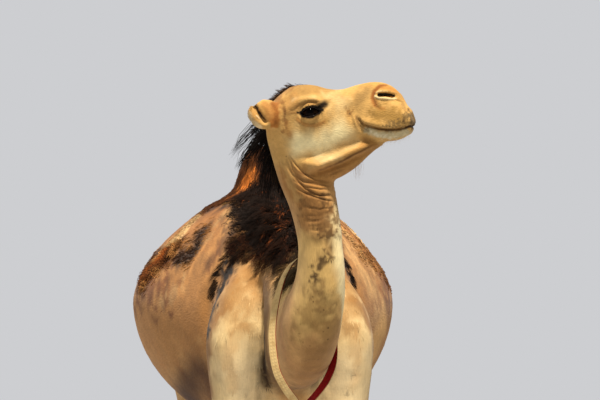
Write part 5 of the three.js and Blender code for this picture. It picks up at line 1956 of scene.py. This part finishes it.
def outward(points: Array, faces: Array) -> Array:
    """The faces turned so that a closed mesh's volume is positive."""
    a, b, c = points[faces[:, 0]], points[faces[:, 1]], points[faces[:, 2]]
    return faces if (a * np.cross(b, c)).sum() > 0 else faces[:, ::-1]


def right_way_out(obj: bpy.types.Object) -> None:
    """Recalculates a closed piece's normals to point outwards."""
    work = bmesh.new()
    work.from_mesh(obj.data)
    bmesh.ops.recalc_face_normals(work, faces=work.faces[:])
    work.to_mesh(obj.data)
    work.free()
    shade_smooth(obj.data)


@dataclass
class Nail:
    """A blunt toenail: an arched form through three sections over the front of a toe."""

    pad: FootPad
    side: int
    toe: int
    name: str
    finish: bpy.types.Material

    def build(self) -> bpy.types.Object:
        """Makes the nail where its solid is."""
        pad = self.pad
        centre = self.side * (pad.x + self.toe * pad.width * 0.2)
        front = pad.y - pad.set_back - pad.length * 0.41
        middle = pad.height * 0.38
        lean = self.side * self.toe
        rows = ((centre, front + 16, middle + 12, 12, 12, 17),
                (centre + lean, front + 4, middle + 6, 14, 14, 18),
                (centre + lean * 2, front - 6, middle, 14.5, 14.5, 17.5),
                (centre + lean * 2.5, front - 17, middle - 6, 12, 12, 15.5),
                (centre + lean * 3, front - 24, middle - 10.5, 8, 8, 11.5))
        points, faces = closed_tube(Loft(rows, domes=(0, 1.5), upper=2.2).rings(28, 16))
        obj = mesh_of(f"nail_{self.name}", points, faces)
        right_way_out(obj)
        return adopt(obj, "horn", self.finish, self.name)


COLLAR_LOOP = (
    (-34, -1008, 1100), (-48, -1007, 1128), (-76, -1005, 1166), (-103, -1000, 1224), (-113, -985, 1314),
    (-107, -970, 1385), (-92, -948, 1450), (-72, -926, 1506), (-42, -904, 1552), (4, -890, 1580),
    (52, -878, 1570), (82, -864, 1524), (95, -856, 1440), (99, -858, 1350), (97, -880, 1280),
    (87, -916, 1236), (69, -952, 1201), (45, -982, 1168), (12, -1002, 1132), (-22, -1010, 1100),
)


@dataclass
class Collar:
    """A loose loop of webbing lined in red, tied below the neck."""

    cream: bpy.types.Material
    red: bpy.types.Material
    width: float = 26.0
    thickness: float = 1.6
    gap: float = 1.6
    twist: float = 44.0
    steps: int = 220
    around: int = 28
    middle: Point = (8.0, -950.0, 1340.0)
    tie: Point = (-28.0, -1009.0, 1086.0)

    def strip(self, name: str, offset: float) -> bpy.types.Object:
        """A tape along the loop: a rounded flat section carried along the curve, turning as the loop does."""
        t = np.linspace(0, 1, self.steps)
        table = np.array(COLLAR_LOOP, float)
        at = spline(table, t)
        tangent = unit(spline(table, t + NEXT) - spline(table, t - NEXT))
        out = at - np.array(self.middle)
        out = unit(out - (out * tangent).sum(1, keepdims=True) * tangent)
        turn = math.radians(self.twist) * np.where(t < 0.5, np.cos(np.pi * t),
                                                   -smooth_step(0.7, 1.0, t))[:, None]
        normal = out * np.cos(turn) + np.cross(tangent, out) * np.sin(turn)
        wide = np.cross(tangent, normal)
        half, thin = self.width / 2, self.thickness / 2
        angle = circle(self.around)
        across = half * np.sign(np.cos(angle)) * np.abs(np.cos(angle)) ** 0.5
        deep = thin * np.sign(np.sin(angle)) * np.abs(np.sin(angle)) ** 0.55
        deep = deep * (1 + 0.16 * np.exp(-((np.abs(across) - half * 0.8) / 1.6) ** 2))
        rings = (at[:, None] + wide[:, None] * across[None, :, None]
                 + normal[:, None] * (offset + deep)[None, :, None] + SOLID_SHIFT) * MM
        points, faces = closed_tube(rings)
        obj = mesh_of(name, points, faces)
        right_way_out(obj)
        run = np.concatenate([[0], np.cumsum(np.linalg.norm(np.diff(at, axis=0), axis=1))]) * MM
        u = np.append(np.repeat(run, self.around), [run[0], run[-1]])
        v = np.append(np.tile(across * MM, self.steps), [0, 0])
        set_map(obj, "Weave", np.stack([u, v], axis=1))
        return obj

    def knot(self) -> bpy.types.Object:
        """The tied ends: an overhand knot, a tube whose path winds three times through itself.

        The path is (sin t + 2 sin 2t, cos t - 2 cos 2t, -sin 3t), scaled to the solid's size.
        """
        steps, around = 160, 18
        t = np.linspace(0, 2 * np.pi, steps, endpoint=False)
        path = np.stack([np.sin(t) + 2 * np.sin(2 * t), np.cos(t) - 2 * np.cos(2 * t), -np.sin(3 * t)],
                        axis=1)
        path = path[:, [0, 2, 1]] * np.array([4.7, 6.5, 5.0])
        tangent = unit(np.roll(path, -1, 0) - np.roll(path, 1, 0))
        out = unit(path - (path * tangent).sum(1, keepdims=True) * tangent)
        side = np.cross(tangent, out)
        angle = circle(around)
        ring = side[:, None] * np.cos(angle)[None, :,
                                             None] * 7.5 + out[:, None] * np.sin(angle)[None, :, None] * 3.4
        centre = np.array(self.tie) + SOLID_SHIFT
        points = ((path[:, None] + ring).reshape(-1, 3) + centre) * MM
        obj = mesh_of("collar_tie", points, grid_faces(steps, around, wrap_rows=True))
        right_way_out(obj)
        u, v = np.meshgrid(t * 0.02, angle * 0.004, indexing="ij")
        set_map(obj, "Weave", np.stack([u.ravel(), v.ravel()], axis=1))
        return obj

    def build(self) -> None:
        """Makes the tape, its lining and the knot, in place of their solids."""
        shift = self.thickness / 2 + self.gap / 2
        adopt(self.strip("collar_tape", shift), "webbing", self.cream, "collar_webbing")
        adopt(self.strip("collar_red_tape", -shift), "lining", self.red, "collar_lining")
        adopt(self.knot(), "lining", self.red, "collar_knot")


# ---------- floor, light and camera ----------
@dataclass
class Studio:
    """A pale floor, a high key light nearly in front, even fill, and the camera."""

    floor_colour: str = "#aeb0b6"
    sky_colour: str = "#cdced1"
    key_power: float = 2080.0
    fill: float = 0.34
    fill_colour: Point = (1.0, 0.95, 0.88)
    lens: float = 176.04
    eye: Point = (-1.2183, -9.8846, 1.330)
    pitch: float = 92.63
    heading: float = -7.5

    def floor(self) -> None:
        """A round floor, made as rings of points, in pale matt paint with a faint grain."""
        radius, around, level = np.array([0.4, 1.2, 2.5, 5.0, 9.0]), 96, -0.0005
        angle, ring, rows = circle(around), np.arange(around), len(radius)
        rings = np.stack([radius[:, None] * np.cos(angle), radius[:, None] * np.sin(angle),
                          np.full((rows, around), level)], axis=-1)
        points = np.concatenate([rings.reshape(-1, 3), [[0, 0, level]]])
        quads = grid_faces(rows, around)
        middle = np.stack([np.full(around, rows * around), ring, (ring + 1) % around], axis=1)
        obj = mesh_of("studio_floor", points,
                      np.concatenate([quads[:, [0, 2, 1]], quads[:, [0, 3, 2]], middle]))
        paint = Finish("painted_floor", roughness=0.85, specular=0.2)
        made, tree, shader = paint.start()
        place = add_node(tree, "TexCoord").outputs["Object"]
        grain = add_node(tree, "TexNoise", {"Vector": place, "Scale": 60.0, "Detail": 3.0})
        tone = linear(self.floor_colour)
        paint.dress(tree, shader, blended(tree, grain.outputs[0], opaque(tone * 0.97), opaque(tone * 1.03)))
        obj.data.materials.append(made)

    def world(self) -> None:
        """Even fill light; the camera sees the plain backdrop colour instead."""
        world = bpy.data.worlds.new("studio")
        bpy.context.scene.world = world
        world.use_nodes = True
        tree = world.node_tree
        tree.nodes.clear()
        rays = add_node(tree, "LightPath")
        light = add_node(tree, "Background", {"Color": opaque(self.fill_colour), "Strength": self.fill})
        plain = add_node(tree, "Background", {"Color": opaque(self.sky_colour), "Strength": 1.0})
        mixed = add_node(tree, "MixShader", {0: rays.outputs["Is Camera Ray"], 1: light.outputs[0],
                                                        2: plain.outputs[0]})
        add_node(tree, "OutputWorld", {"Surface": mixed.outputs[0]})

    def lamp(self, name: str, place: Point, target: Point, size: float, power: float, colour: str) -> None:
        """An area lamp turned to a target."""
        data = bpy.data.lights.new(name, "AREA")
        data.shape, data.size, data.energy, data.color = "DISK", size, power, linear(colour)
        obj = linked(name, data)
        obj.location = place
        obj.rotation_euler = (Vector(target) - Vector(place)).to_track_quat("-Z", "Y").to_euler()

    def camera(self) -> None:
        """A long lens at a standing person's chest height, looking a little up."""
        data = bpy.data.cameras.new("camera")
        data.sensor_width, data.lens = 36.0, self.lens
        obj = linked("camera", data)
        obj.location = self.eye
        obj.rotation_euler = (math.radians(self.pitch), 0.0, math.radians(self.heading))
        bpy.context.scene.camera = obj

    def build(self) -> None:
        """Sets up everything that isn't the animal."""
        self.camera()
        self.floor()
        self.world()
        self.lamp("key", (0.4, -5.0, 11.27), (0, -0.4, 1.4), 0.9, self.key_power, "#fff5e6")
        self.lamp("rim", (-5.0, 5.5, 5.0), (0, 0, 1.5), 4.0, self.key_power * 0.10, "#fdf6ea")
        bpy.context.scene.view_settings.view_transform = "Standard"


# ---------- the whole animal ----------
LIMBS = ("fore_arm", "fore_shank", "fore_foot", "hind_thigh", "hind_shank", "hind_foot")
FLESH = ("trunk", "hump", "brisket_pad", "tail", "neck_lower", "neck_upper", "mane", "head", "lower_jaw",
         "ear_right", "ear_left", *(f"{limb}_{side}" for limb in LIMBS for side in ("right", "left")))


@dataclass
class Camel:
    """The animal: skin, coat, eyes, nails and collar."""

    share: float = 1.0

    def dress_skin(self, obj: bpy.types.Object, skin: SkinField) -> None:
        """Gives the skin its markings, its lie weights and its place in the model."""
        points = skin.surface.points
        colours, spots = coat_colour(points)
        set_colour(obj, "Tone", colours * 0.94)
        set_value(obj, "Spots", spots)
        share = np.exp(-6 * (skin.ratios - skin.ratios.min(axis=1, keepdims=True)))
        share /= share.sum(axis=1, keepdims=True)
        head = share[:, [SKULL_K, *EAR_K]].sum(axis=1)
        trunk = share[:, TRUNK_K]
        set_colour(obj, "Lie", np.stack([1 - head - trunk, trunk, head], axis=1))
        finish = CamelHair("short_camel_hair_skin", roughness=0.82, specular=0.18, sheen=0.08, streak=0.08,
                           bump=0.5)
        adopt(obj, "coat", finish.make(), *FLESH)

    def build(self) -> None:
        """Builds every piece of the animal in order."""
        obj = Skin().build()
        skin = SkinField(Surface(obj.data))
        self.dress_skin(obj, skin)
        short = CamelHair("short_camel_hair", roughness=0.75, specular=0.2, sheen=0.08).make()
        wool = CamelHair("camel_wool", roughness=0.85, specular=0.07, sheen=0.02).make()
        Coat(skin, short, wool, self.share).build()
        Wisps(skin, wool, self.share).build()
        globe = EyeGlobe("wet_eye", roughness=0.05, specular=0.04, coat=0.03, coat_roughness=0.02).make()
        rim = WetSkin("lid_skin", roughness=0.42, specular=0.3).make()
        for name, socket in EYES.items():
            Eye(socket, name, globe, rim).build()
        horn = Horn("nail_horn", roughness=0.42, specular=0.4).make()
        for end, pad in (("fore", FORE_FOOT), ("hind", HIND_FOOT)):
            for side, sign in (("right", -1), ("left", 1)):
                for toe, lean in (("inner", -1), ("outer", 1)):
                    Nail(pad, sign, lean, f"{end}_nail_{side}_{toe}", horn).build()
        cream = Webbing("cotton_webbing", roughness=0.85, specular=0.2).make()
        red = Webbing("red_cotton_lining", roughness=0.85, specular=0.2, colour="#a3161a",
                      worn="#6f0f12").make()
        Collar(cream, red).build()


def main() -> None:
    """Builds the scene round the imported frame."""
    logging.basicConfig(level=logging.INFO, format="%(message)s")
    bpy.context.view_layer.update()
    Studio().build()
    Camel(share=1.0).build()


if __name__ == "__main__":
    main()
